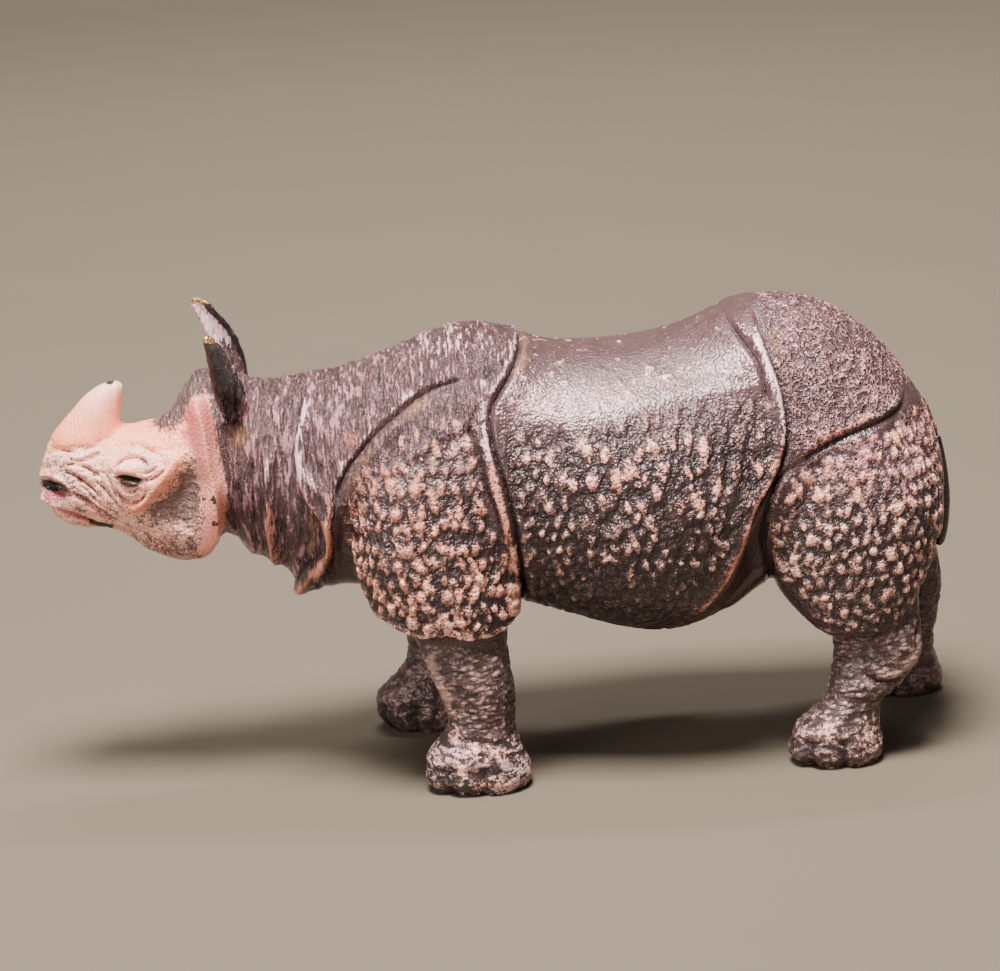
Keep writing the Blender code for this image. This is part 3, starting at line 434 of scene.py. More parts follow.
# Coats of paint laid along a line: coat, side, half width, amount, line (x, z).
PAINT_LINES = (
    # A painted highlight along the ridge of the cheekbone.
    ("cream", 0, 1.3, 0.85, CHEEKBONE),
    ("peach", 0, 1.6, 0.8, CHEEKBONE),
    ("peach", 0, 2.0, 0.9, ((-62.0, 61.6), (-58.2, 61.2), (-55.0, 61.8), (-52.6, 61.4), (-51.0, 59.4))),
    ("rose", 0, 1.2, 0.8, ((-52.2, 63.4), (-50.8, 61.2), (-49.6, 58.4))),
    ("salmon", 0, 0.7, 0.6, ((-38.9, 50.0), (-38.9, 44.0), (-38.6, 39.0), (-37.8, 34.0))),
    ("salmon", 0, 0.9, 0.62, ((-29.8, 48.6), (-29.0, 46.0), (-28.9, 42.2), (-30.4, 38.6), (-32.8, 35.2),
                              (-35.6, 30.4))),
    ("ochre", 0, 1.1, 0.4, ((-5.4, 66.8), (-9.4, 66.4), (-13.4, 64.6), (-16.6, 62.6), (-19.4, 60.2),
                            (-22.6, 57.0),
                             (-24.8, 53.6), (-26.2, 49.4))),
    ("ochre", 0, 0.9, 0.5, ((-32.6, 49.4), (-31.8, 45.4), (-32.2, 41.0), (-34.4, 37.4))),
    ("ochre", 0, 0.8, 0.5, ((6.2, 74.0), (4.4, 70.8), (2.2, 68.0))),
    ("ochre", 0, 1.0, 0.46, ((44.8, 74.4), (45.2, 70.4), (46.6, 66.4), (47.0, 62.0), (46.9, 57.0))),
    ("salmon", 0, 0.7, 0.44, ((-2.7, 57.4), (-1.8, 52.4), (-1.0, 47.6), (-0.4, 42.6), (0.0, 36.0))),
    ("salmon", 0, 0.8, 0.56, ((44.2, 57.0), (43.0, 52.8), (41.2, 49.6), (39.0, 45.6), (37.4, 41.4),
                              (35.4, 37.0),
                             (32.4, 32.4), (29.0, 28.0))),
    ("salmon", 0, 1.0, 0.45, ((60.0, 59.2), (55.6, 58.0), (51.6, 56.4), (48.6, 54.8))),
    ("cream", 0, 0.5, 0.7, ((-24.0, 33.0), (-21.6, 31.1), (-18.7, 29.9), (-15.6, 28.3), (-11.7, 28.7),
                            (-7.4, 27.5),
                            (-3.5, 27.7), (0.0, 29.2), (1.4, 30.8))),
    ("tan", -1, 1.1, 0.8, ((-15.2, 26.0), (-13.4, 21.6), (-11.6, 16.8), (-10.6, 11.0))),
    ("tan", 1, 1.2, 0.5, ((-16.6, 26.0), (-16.2, 21.6), (-15.8, 16.8), (-16.2, 11.0))),
    ("tan", -1, 0.9, 0.7, ((-13.6, 9.4), (-11.6, 6.8), (-8.4, 5.6), (-4.4, 6.4), (-0.6, 5.0))),
    ("tan", -1, 1.2, 0.85, ((56.4, 18.4), (58.4, 17.0), (61.0, 16.0), (63.6, 16.2), (65.4, 19.0),
                            (66.0, 22.6))),
    ("tan", -1, 0.7, 0.8, ((57.6, 17.8), (60.6, 16.6), (63.6, 16.8), (65.2, 20.0))),
    ("mouth", 0, 0.8, 1.0, ((-75.4, 49.6), (-74.2, 49.3), (-72.6, 48.8), (-70.2, 48.0), (-68.0, 47.0),
                            (-66.4, 46.3))),
    ("black", 0, 0.85, 1.0, ((-69.0, 47.2), (-67.4, 46.5), (-65.8, 45.9), (-63.6, 45.3))),
    # The painted shadow of the upper lid along the slit of the eye.
    ("black", 0, 0.42, 0.9, ((-63.0, 54.7), (-62.0, 55.2), (-60.6, 55.2), (-59.2, 54.8), (-58.0, 54.6))),
)

# Coats of paint laid in a spot: coat, side, x, z, half length, half height,
# degrees the length rises, amount.
PAINT_SPOTS = (
    ("mouth", 0, -73.3, 52.0, 1.9, 0.75, -14.0, 1.0),
    ("mouth", 0, -64.4, 45.9, 0.6, 0.4, -20.0, 0.9),
    ("black", 0, -74.2, 53.6, 2.0, 0.95, -22.0, 1.0),
    ("olive", 0, -60.5, 54.4, 1.9, 0.85, -4.0, 1.0),
    ("black", 0, -47.5, 51.4, 1.0, 0.6, 70.0, 1.0),
    ("black", 0, -48.6, 51.2, 0.5, 0.35, 10.0, 1.0),
    ("black", 0, -47.9, 47.5, 0.7, 0.45, 30.0, 1.0),
    ("black", 0, -48.3, 56.2, 0.3, 0.3, 0.0, 0.9),
    ("black", -1, -71.9, 61.2, 0.25, 0.25, 0.0, 1.0),
    ("black", -1, -70.0, 63.4, 0.25, 0.3, 0.0, 1.0),
    ("black", 0, -63.0, 69.4, 0.9, 0.4, 0.0, 1.0),
    ("ochre", 0, -43.2, 61.0, 2.4, 2.8, -10.0, 0.62),
    ("ochre", 0, 5.0, 70.4, 1.6, 1.0, 0.0, 0.5),
    ("rose", 0, -24.4, 60.4, 2.0, 1.8, 0.0, 0.5),
    ("tan", -1, -5.6, 16.6, 2.4, 3.4, 20.0, 0.75),
    ("rose", -1, -7.4, 2.0, 2.2, 0.9, 0.0, 0.5),
    ("black", -1, -43.2, 66.4, 2.3, 4.6, 0.0, 0.95),
    ("black", -1, -4.6, 5.0, 3.4, 1.0, 4.0, 0.6),
    ("black", -1, 0.8, 6.2, 1.2, 1.4, 0.0, 0.56),
    ("cream", -1, -5.4, 8.2, 4.8, 1.3, -14.0, 0.8),
    ("cream", -1, -10.4, 5.6, 1.3, 2.4, 0.0, 0.74),
    ("cream", -1, -10.4, 10.4, 1.2, 2.2, 0.0, 0.6),
    ("cream", -1, -5.0, 2.6, 3.8, 1.0, 4.0, 0.64),
    ("cream", -1, 50.4, 6.8, 1.6, 2.2, 0.0, 0.5),
    ("cream", -1, 57.2, 5.0, 2.6, 2.4, 20.0, 0.56),
)

# How each coat is brushed on: the grain that breaks it up, how far it keeps to the raised hide,
# how much the grain breaks it, and the softness of its edges.
BRUSHES = {
    "pearl": ("dry", 1.0, 0.9, 0.1),
    "lavender": ("dry", 1.0, 0.9, 0.24),
    "ochre": ("broad", 0.3, 1.0, 0.45),
    "tan": ("speckle", 0.9, 0.8, 0.4),
    "salmon": ("speckle", 1.1, 0.9, 0.2),
    "cream": ("patchy", 0.9, 1.0, 0.4),
    "peach": ("broad", 0.2, 0.6, 0.6),
    "rose": ("speckle", 0.3, 0.9, 0.4),
    "horn": ("strokes", 0.2, 0.7, 0.4),
    "olive": ("fine", 0.0, 0.0, 0.3),
    "mouth": ("grain", 0.0, 0.2, 0.15),
    "black": ("speckle", -0.3, 0.25, 0.15),
    "brass": ("speckle", 0.0, 0.4, 0.2),
}
COATS = tuple(BRUSHES)
HIDE_FIELDS = (
    "relief", "groove_gap", "groove_depth", "worn", "face", "wrinkled", "wormy", "pebbled", "cracked",
    "smooth",
)

# Noises in the paint: size in metres, detail, roughness, and how far the noise is lifted off the others.
NOISES = {
    "blotch": (0.004, 4.0, 0.6, 0.0),
    "grain": (0.0009, 4.0, 0.7, 1.0),
    "fine": (0.0003, 2.0, 0.6, 2.0),
    "grit": (0.00045, 1.5, 0.5, 4.0),
    "worm": (0.0012, 2.0, 0.5, 6.0),
    "pits": (0.00045, 2.5, 0.5, 5.0),
}
STREAK = (0.00048, 2.0, 0.5, 3.0, (1.0, 0.22, 0.14))    # the same for the strokes, and their stretch
STREAK_SHAKE = 0.0009   # metres that the grain shakes the strokes by
KNOB_SHAKE = 0.0003     # metres that the grit shakes the knobs by
SMALL_KNOBS = (0.0013, (1.0, 1.0, 0.85))    # knobs on the pebbles: spacing in metres, stretch
NET_KNOBS = (0.0009, (0.55, 0.55, 1.0))     # the same for the cracked skin of the legs
LIP_PLACE = 0.85        # the raised lip stands this far from its groove, in the tables' millimetres
BUMP_DEPTH = 0.0004     # metres of bump for a height of 1

# The studio, in metres
FIGURE_MIDDLE = (0.0, 0.0, 0.04)        # what the two lights over the figure shine at
VIEW_CENTRE = (-0.0004, 0.0, 0.0466)    # what the camera looks at
LIGHTS = (
    # name, the setting that holds its watts, place, target, side of its square, colour
    ("key_light", "key_watts", (-0.04, -0.16, 0.60), FIGURE_MIDDLE, 0.20, (1.0, 0.93, 0.90)),
    ("fill_light", "fill_watts", (-0.42, -0.50, 0.22), FIGURE_MIDDLE, 0.45, (1.0, 0.92, 0.88)),
    ("backdrop_light", "backdrop_watts", (0.0, 0.35, 1.0), (0.0, 1.5, 0.35), 0.5, (1.0, 0.95, 0.90)),
)
WORLD_COLOUR = (0.95, 0.93, 0.90, 1.0)
WORLD_STRENGTH = 0.2
FLOOR_FRONT = -1.2      # y of the floor's front edge
FLOOR_BACK = 1.1        # y at which the floor starts to bend upwards
FLOOR_BEND = 0.5        # radius of the bend
BACKDROP_TOP = 1.4      # height of the backdrop
FLOOR_COLUMNS = 13      # points across the floor
BEND_STEPS = 24         # points along the bend


def eased_rows(rows, steps):
    """Rows with steps - 1 more between each two, on a Catmull-Rom curve through every column."""
    rows = np.asarray(rows, float)
    padded = np.vstack([2 * rows[0] - rows[1], rows, 2 * rows[-1] - rows[-2]])
    t = (np.arange(steps) / steps)[None, :, None]
    a, b, c, d = (padded[i:len(padded) - 3 + i][:, None, :] for i in range(4))
    second, third = 2 * a - 5 * b + 4 * c - d, 3 * b - a - 3 * c + d
    curve = 0.5 * (2 * b + (c - a) * t + second * t**2 + third * t**3)
    return np.vstack([curve.reshape(-1, rows.shape[1]), rows[-1]])


def superellipse(turn, power):
    """Cosine and sine of the turn, each raised to 2 / power and keeping its sign."""
    c, s = np.cos(turn), np.sin(turn)
    return np.sign(c) * np.abs(c) ** (2 / power), np.sign(s) * np.abs(s) ** (2 / power)


def ring_turn():
    """The second parameter of every loft: the turn round it, from 0 to a whole turn."""
    return np.linspace(0, 2 * math.pi, RING_POINTS, endpoint=False)[None, :]


def upright_rings(rows):
    """Trunk over (x, turn): at each x a superellipse whose upper and lower halves differ in height
    and power."""
    x, top, level, bottom, half, above, below = eased_rows(rows, RING_STEPS).T[:, :, None]
    turn = ring_turn()
    upper = np.sin(turn) >= 0
    across, up = superellipse(turn, np.where(upper, above, below))
    z = level + up * np.where(upper, top - level, level - bottom)
    return np.stack([x + 0 * turn, half * across, z], axis=-1)


def level_rings(rows, side, power=2.3):
    """Plate or limb over (z, turn): at each z a superellipse between its front, back, outer and
    inner sides."""
    z, front, back, outer, inner = eased_rows(rows, RING_STEPS).T[:, :, None]
    turn = ring_turn()
    along, across = superellipse(turn, power)
    x = (front + back) / 2 + (back - front) / 2 * along
    y = side * ((outer + inner) / 2 + (outer - inner) / 2 * across)
    return np.stack([x, y, z + 0 * turn], axis=-1)


def path_rings(rows, facing, hollow=0.0):
    """Ear or tail over (path, turn): an oval across the path, and on the side that it faces
    its depth is multiplied by 1 - 2 * hollow * sine of the turn, which dishes it."""
    rows = eased_rows(rows, RING_STEPS)
    ahead = np.gradient(rows[:, :3], axis=0)
    ahead /= np.linalg.norm(ahead, axis=1, keepdims=True)
    facing = np.asarray(facing, float)
    front = facing - (ahead @ facing)[:, None] * ahead
    front /= np.linalg.norm(front, axis=1, keepdims=True)
    beside = np.cross(ahead, front)
    turn = ring_turn()
    across, deep = np.cos(turn), np.sin(turn)
    deep = np.where(deep > 0, deep * (1 - 2 * hollow * deep), deep)
    return (
        rows[:, None, :3]
        + (rows[:, 3:4] * across)[..., None] * beside[:, None, :]
        + (rows[:, 4:5] * deep)[..., None] * front[:, None, :]
    )


def loft_forms():
    """Every closed form of the animal as a grid of points in the tables' millimetres."""
    turn = math.radians(EAR_TURN)
    forms = [upright_rings(TRUNK), level_rings(HORN, 1, power=2.0)]
    for side in (-1, 1):
        forms.append(level_rings(SHOULDER_PLATE, side))
        forms.append(level_rings(THIGH_PLATE, side))
    for rows, side in ((NEAR_FORE_LEG, -1), (NEAR_HIND_LEG, -1), (FAR_FORE_LEG, 1), (FAR_HIND_LEG, 1)):
        forms.append(level_rings(rows, side))
    for rows, side in ((NEAR_EAR, -1), (FAR_EAR, 1)):
        inwards = (-math.cos(turn), -side * math.sin(turn), 0.0)
        forms.append(path_rings(rows, inwards, EAR_HOLLOW))
    forms.append(path_rings(TAIL, (1.0, 0.0, 0.0)))
    return forms


def skin_mesh(name, forms):
    """One mesh of closed skins: point (i, j) of a grid is joined to (i + 1, j) and (i, j + 1), the last
    j to the first, and the first and last rings are capped."""
    points, faces, start = [], [], 0
    for grid in forms:
        index = start + np.arange(grid.shape[0] * RING_POINTS).reshape(-1, RING_POINTS)
        ahead = np.roll(index, -1, axis=1)
        quads = np.stack([index[:-1], ahead[:-1], ahead[1:], index[1:]], axis=-1).reshape(-1, 4)
        faces += quads.tolist() + [index[0].tolist(), index[-1].tolist()]
        points.append(grid.reshape(-1, 3))
        start += index.size
    mesh = bpy.data.meshes.new(name)
    mesh.from_pydata(np.concatenate(points).tolist(), [], faces)
    made = bmesh.new()
    made.from_mesh(mesh)
    bmesh.ops.recalc_face_normals(made, faces=made.faces)
    made.to_mesh(mesh)
    made.free()
    return mesh


def smooth_step(value, low, high):
    """0 below low, 1 above high, and an S between them."""
    t = np.clip((value - low) / (high - low), 0.0, 1.0)
    return t * t * (3.0 - 2.0 * t)


def bell(value, half_width):
    """1 at zero, falling to 1/e at the half width."""
    return np.exp(-((value / half_width) ** 2))


def beside(distance, peak):
    """0 at the line, 1 at the peak distance on its positive side, and dying away beyond."""
    share = np.maximum(distance, 0.0) / peak
    return share * np.exp(1.0 - share)


def cloud(points, size, seed):
    """Smooth random field from -1 to 1: random values on a lattice of the given cell size,
    blended between the eight corners of a cell with eased weights."""
    table = np.random.default_rng(seed).uniform(-1.0, 1.0, (LATTICE,) * 3)
    scaled = points / np.asarray(size, float)
    cell = np.floor(scaled).astype(int)
    t = scaled - cell
    t = t * t * (3.0 - 2.0 * t)
    total = np.zeros(len(points))
    for corner in itertools.product((0, 1), repeat=3):
        at = (cell + corner) % LATTICE
        total += np.where(corner, t, 1.0 - t).prod(axis=1) * table[at[:, 0], at[:, 1], at[:, 2]]
    return total


def creases(points, size, seed):
    """Thin winding ridges: 1 where a cloud passes zero, falling off on both sides."""
    return np.exp(-((cloud(points, size, seed) / 0.22) ** 2))


def from_line(flat, line):
    """Distance of each flat point from a line, positive to the left, and how far along the line it is."""
    start, step = line[:-1], np.diff(line, axis=0)
    length = np.linalg.norm(step, axis=1)
    run = np.concatenate([[0.0], np.cumsum(length)])
    best = np.full(len(flat), 1e9)
    signed, along = np.zeros(len(flat)), np.zeros(len(flat))
    for a, d, size, before in zip(start, step, length, run):
        rel = flat - a
        t = np.clip(rel @ d / size**2, 0.0, 1.0)
        off = rel - t[:, None] * d
        gap = np.linalg.norm(off, axis=1)
        nearer = gap < best
        turn = d[0] * rel[:, 1] - d[1] * rel[:, 0]
        best = np.where(nearer, gap, best)
        signed = np.where(nearer, np.where(turn >= 0, gap, -gap), signed)
        along = np.where(nearer, before + t * size, along)
    return signed, along, run[-1]


def inside(points, region):
    """1 inside a region's outline, 0 outside, eased over its soft edge: the sign comes from how often
    a level ray from the point crosses the outline, the size from the distance to the outline."""
    soft, outline = REGIONS[region]
    flat = points[:, (0, 2)]
    loop = np.asarray(outline + outline[:1], float)
    gap = np.abs(from_line(flat, loop)[0])
    crossings = np.zeros(len(flat), int)
    for (x0, z0), (x1, z1) in zip(loop, loop[1:]):
        if z0 != z1:
            spans = (flat[:, 1] >= min(z0, z1)) & (flat[:, 1] < max(z0, z1))
            crossings += spans & (x0 + (flat[:, 1] - z0) * (x1 - x0) / (z1 - z0) > flat[:, 0])
    return smooth_step(np.where(crossings % 2, gap, -gap), -soft / 2, soft / 2)


def on_side(points, side):
    """1 on the given side of the animal, or everywhere for side 0."""
    return np.ones(len(points)) if side == 0 else (points[:, 1] * side > 0).astype(float)


def outwards(points, normals):
    """1 where the hide faces away from the animal's axis, 0 on the inner sides of the legs."""
    away = points * (0.0, 1.0, 1.0) - (0.0, 0.0, AXIS_HEIGHT)
    away /= np.linalg.norm(away, axis=1, keepdims=True) + 1e-9
    return smooth_step((away * normals).sum(axis=1), 0.0, 0.35)


def along_line(points, side, line, reach):
    """The points near a line: their numbers, signed distance and fade towards the line's ends."""
    flat = points[:, (0, 2)]
    line = eased_rows(line, LINE_STEPS)
    low, high = line.min(axis=0) - reach, line.max(axis=0) + reach
    near = np.flatnonzero(((flat > low) & (flat < high)).all(axis=1) & (on_side(points, side) > 0))
    gap, along, full = from_line(flat[near], line)
    return near, gap, along, full


def fold_heights(points):
    """Sum of the folds at each point: the line's own groove or ridge, and the hide to its left and right.
    With it come the crests, where a brush touches and, high up, painted highlights are laid, and the
    nearest
    groove: its distance, positive on the raised side, and its depth. The distance is even between points,
    so the painted shade in the groove and the painted highlight beside it can follow it closely."""
    height, crest, depth = np.zeros((3, len(points)))
    groove = np.full(len(points), CREASE_REACH)
    for side, middle, half_width, left, right, peak, line in FOLDS:
        near, gap, along, full = along_line(points, side, line, 4.0 * max(half_width, peak))
        reach = min(LINE_FADE, full / 4)
        fade = smooth_step(along, 0.0, reach) * smooth_step(full - along, 0.0, reach)
        profile = middle * bell(gap, half_width) + left * beside(gap, peak) + right * beside(-gap, peak)
        lips = max(left, 0.0) * bell(gap - 0.9 * peak, 0.55 * peak)
        lips += max(right, 0.0) * bell(gap + 0.9 * peak, 0.55 * peak)
        height[near] += fade * profile
        crest[near] += fade * (lips + max(middle, 0.0) * bell(gap, 0.7 * half_width))
        if middle < 0.0:
            gap = gap if left >= right else -gap
            nearer = (np.abs(gap) < np.abs(groove[near])) & (fade > 0.01)
            groove[near] = np.where(nearer, gap, groove[near])
            depth[near] = np.where(nearer, fade * min(-middle, 1.0), depth[near])
    return height, crest, groove, depth


def oval_gap(points, x, z, half_length, half_height, rise):
    """Distance from the middle of a turned oval, 1 on its rim."""
    c, s = math.cos(math.radians(rise)), math.sin(math.radians(rise))
    dx, dz = points[:, 0] - x, points[:, 2] - z
    return np.hypot((dx * c + dz * s) / half_length, (dz * c - dx * s) / half_height)


def beside_nose(points):
    """1 everywhere but in the middle of the nose, so that the two nostrils stay apart."""
    middle = 1.0 - smooth_step(np.abs(points[:, 1]), 2.2, 3.8)
    return 1.0 - middle * smooth_step(-points[:, 0], 70.0, 73.0)


def stamp_heights(points):
    """Sum of the bosses and hollows at each point."""
    height = np.zeros(len(points))
    for side, x, z, half_length, half_height, rise, top in STAMPS:
        gap = oval_gap(points, x, z, half_length, half_height, rise)
        height += on_side(points, side) * top * np.exp(-(gap**3))
    return height


def toe_heights(points, normals):
    """Clefts between the three toes of each foot, and the step of the skin over their nails."""
    height = np.zeros(len(points))
    upright = smooth_step(np.hypot(normals[:, 0], normals[:, 1]), 0.3, 0.8)
    for side, x, out, half_length, turn in FEET:
        dx, dy = points[:, 0] - x, points[:, 1] * side - out
        angle = np.degrees(np.arctan2(dy, -dx)) - turn
        close = smooth_step(half_length + 3.0 - np.hypot(dx, dy), 0.0, 1.0)
        low = 1.0 - smooth_step(points[:, 2], NAIL_TOP - 1.2, NAIL_TOP)
        clefts = sum(bell(angle - k * TOE_SPREAD, 9.0) for k in (-0.5, 0.5))
        ends = sum(bell(angle - k * TOE_SPREAD, 9.0) for k in (-1.4, 1.4))
        nails = 1.0 - smooth_step(np.abs(angle), 1.4 * TOE_SPREAD, 1.5 * TOE_SPREAD)
        height -= upright * close * low * (TOE_CLEFT * (clefts + 0.5 * ends) + NAIL_STEP * nails)
    return height


def pebbles(points, length, high_top, seed):
    """Domes of the hide from 0 to 1, and a random number for each dome. Rows of a brick lattice run
    along the animal, taller cells stand higher up, and every middle and radius is shaken at random."""
    x, y, z = (points + 0.16 * length * shaken(points, 0.55 * length, seed)).T
    round_rump = smooth_step(x, 58.0, 70.0) * (20.0 - np.abs(y))
    round_chest = smooth_step(-x, 20.0, 27.0) * (22.0 - np.abs(y))
    along = (x + round_rump - round_chest) / length
    up = (z - 20.0) / length / (1.0 + (high_top - 1.0) * smooth_step(z, 20.0, 66.0))
    rng = np.random.default_rng(seed)
    shake = rng.uniform(-0.3, 0.3, (2, LATTICE, LATTICE))
    radius = rng.uniform(0.38, 0.64, (LATTICE, LATTICE))
    lean = rng.uniform(-0.35, 0.35, (LATTICE, LATTICE))
    chance = rng.uniform(0.0, 1.0, (LATTICE, LATTICE))
    column, row = np.floor(along).astype(int), np.floor(up).astype(int)
    dome, lot = np.zeros(len(points)), np.zeros(len(points))
    for right, higher in itertools.product((-1, 0, 1), repeat=2):
        i, j = column + right, row + higher
        at = ((i + 29 * (y > 0)) % LATTICE, j % LATTICE)
        du = along - (i + 0.5 + np.where(j % 2, 0.25, -0.25) + shake[0][at])
        dv = up - (j + 0.5 + shake[1][at])
        gap = np.hypot(du + lean[at] * dv, 0.84 * dv) / radius[at]
        high = (1.0 - smooth_step(gap, 0.25, 1.0)) * (0.65 + 0.35 * chance[at])
        lot = np.where(high > dome, chance[at], lot)
        dome = np.maximum(dome, high)
    return dome, lot


def shaken(points, size, seed):
    """Three clouds side by side, to shake the points of another field."""
    return np.stack([cloud(points, size, seed + 100 * axis) for axis in (1, 2, 3)], axis=-1)


def pebbled_hide(points, region, spacing):
    """Pebbles of shoulder, flank and thigh, each with its own spacing, and finer ones between them.
    The flank's are large above and small below and in front."""
    x, _, z = points.T
    upper = smooth_step(z + 3.0 * cloud(points, 5.0, 3), 41.0, 50.0) * smooth_step(x, 3.0, 10.0)
    kinds = (
        (region["shoulder"], 0.84, 1.25, 11), (region["flank"] * upper, 1.12, 1.25, 13),
        (region["flank"] * (1.0 - upper), 0.8, 1.15, 15), (region["thigh"], 0.84, 1.15, 17),
    )
    dome, lot = np.zeros((2, len(points)))
    for mask, share, tall, seed in kinds:
        near = np.flatnonzero(mask > 0.02)
        here = points[near]
        big, chance = pebbles(here, share * spacing, tall, seed)
        small, _ = pebbles(here, 0.55 * share * spacing, tall, seed + 40)
        both = np.maximum(big, 0.5 * small) * smooth_step(mask[near], 0.0, 0.6)
        both = np.clip(both - 0.10 * (1.0 + cloud(here, 0.7, seed + 60)), 0.0, 1.0)
        higher = both > dome[near]
        dome[near] = np.where(higher, both, dome[near])
        lot[near] = np.where(higher, chance, lot[near])
    return dome, lot


def hide_relief(points, normals, pebble_spacing, pebble_depth, wrinkle_depth):
    """Heights of the fine relief, cut into the smooth hide, with the fields that made them. Muzzle, crown
    and feet are worked all round, the rest where it faces away from the animal's axis."""
    x, _, z = points.T
    out = np.maximum.reduce([
        outwards(points, normals), smooth_step(z, 58.0, 62.0), smooth_step(-x, 72.0, 74.5),
        1.0 - smooth_step(z, 12.0, 18.0),
    ])
    region = {name: inside(points, name) * out for name in REGIONS}
    dome, lot = pebbled_hide(points, region, pebble_spacing)
    pebbled = np.maximum.reduce([region["shoulder"], region["flank"], region["thigh"]])
    depth = np.maximum.reduce([region["shoulder"], region["flank"], 0.85 * region["thigh"]])
    belly = 1.0 - 0.5 * (1.0 - smooth_step(z, 26.0, 36.0)) * region["flank"]
    soft = 0.85 + 0.15 * cloud(points, 6.0, 5)
    height = -pebble_depth * depth * belly * soft * (1.0 - dome)

    # strands of the neck, crossed by short creases on the withers
    strands = cloud(points + 0.7 * shaken(points, 2.6, 31), (0.8, 6.0, 5.0), 32)
    broad = cloud(points + 0.9 * shaken(points, 5.0, 34), (1.9, 9.0, 8.0), 33)
    cross = cloud(points + 0.6 * shaken(points, 2.0, 35), (3.5, 3.5, 0.9), 36)
    withers = region["neck"] * smooth_step(x, -16.0, -8.0) * smooth_step(z, 64.0, 68.0)
    strands = np.where(withers > 0.5, 0.7 * strands + 0.7 * cross, strands)
    height += 1.5 * wrinkle_depth * region["neck"] * (0.7 * strands + 0.4 * broad - 1.1)

    # winding wrinkles of the rump
    worms = creases(points + 0.8 * shaken(points, 1.5, 43), (1.3, 1.3, 1.6), 41)
    worms *= 0.75 + 0.35 * cloud(points, 2.0, 44)
    height += 1.5 * wrinkle_depth * region["rump"] * (0.8 * worms - 1.0 + 0.3 * cloud(points, 3.0, 42))

    # the back: rough behind, with scattered warts
    rough = region["back"] * smooth_step(x, 14.0, 30.0) * (1.0 - smooth_step(z, 64.0, 70.0))
    dots = cloud(points + 0.4 * shaken(points, 1.4, 53), 0.95, 51)
    height += wrinkle_depth * (0.15 * region["back"] + 0.8 * rough) * (dots - 1.0)
    sparks = region["back"] * smooth_step(cloud(points, 1.1, 55), 0.5, 0.75)
    height += 0.15 * (sparks - region["back"])

    # cracked skin of the legs, and the grain of the face
    legs = (1.0 - smooth_step(z, 24.0, 28.0)) * (1.0 - 0.6 * pebbled)
    cracks = creases(points + 0.5 * shaken(points, 1.6, 61), (1.6, 1.6, 0.9), 62)
    height += 0.8 * wrinkle_depth * legs * smooth_step(z, 1.0, 4.0) * (cracks - 1.0)
    face = region["head"] * (1.0 - region["horn"]) * (1.0 - region["jaw_band"])
    grain = cloud(points + 0.5 * shaken(points, 1.6, 71), (1.3, 1.3, 0.5), 72)
    height += 0.6 * wrinkle_depth * face * (grain - 1.0)

    # notches across the top of the neck
    top = smooth_step(z, 64.0, 67.0) * smooth_step(-x, 14.0, 22.0)
    top *= 1.0 - smooth_step(-x, 41.0, 44.0)
    notch = np.abs(np.sin(math.pi * (x + 0.6 * cloud(points, 4.0, 81)) / 2.2))
    height -= 0.5 * top * (1.0 - smooth_step(notch, 0.0, 0.45))
    fields = {
        "dome": dome, "lot": lot, "pebbled": pebbled, "strands": strands, "worms": worms, "cracks": cracks,
        "dots": dots, "sparks": sparks, "grain": grain, "legs": legs, "out": out, "rough": rough,
        "withers": withers, "face": face, **region,
    }
    return height, fields


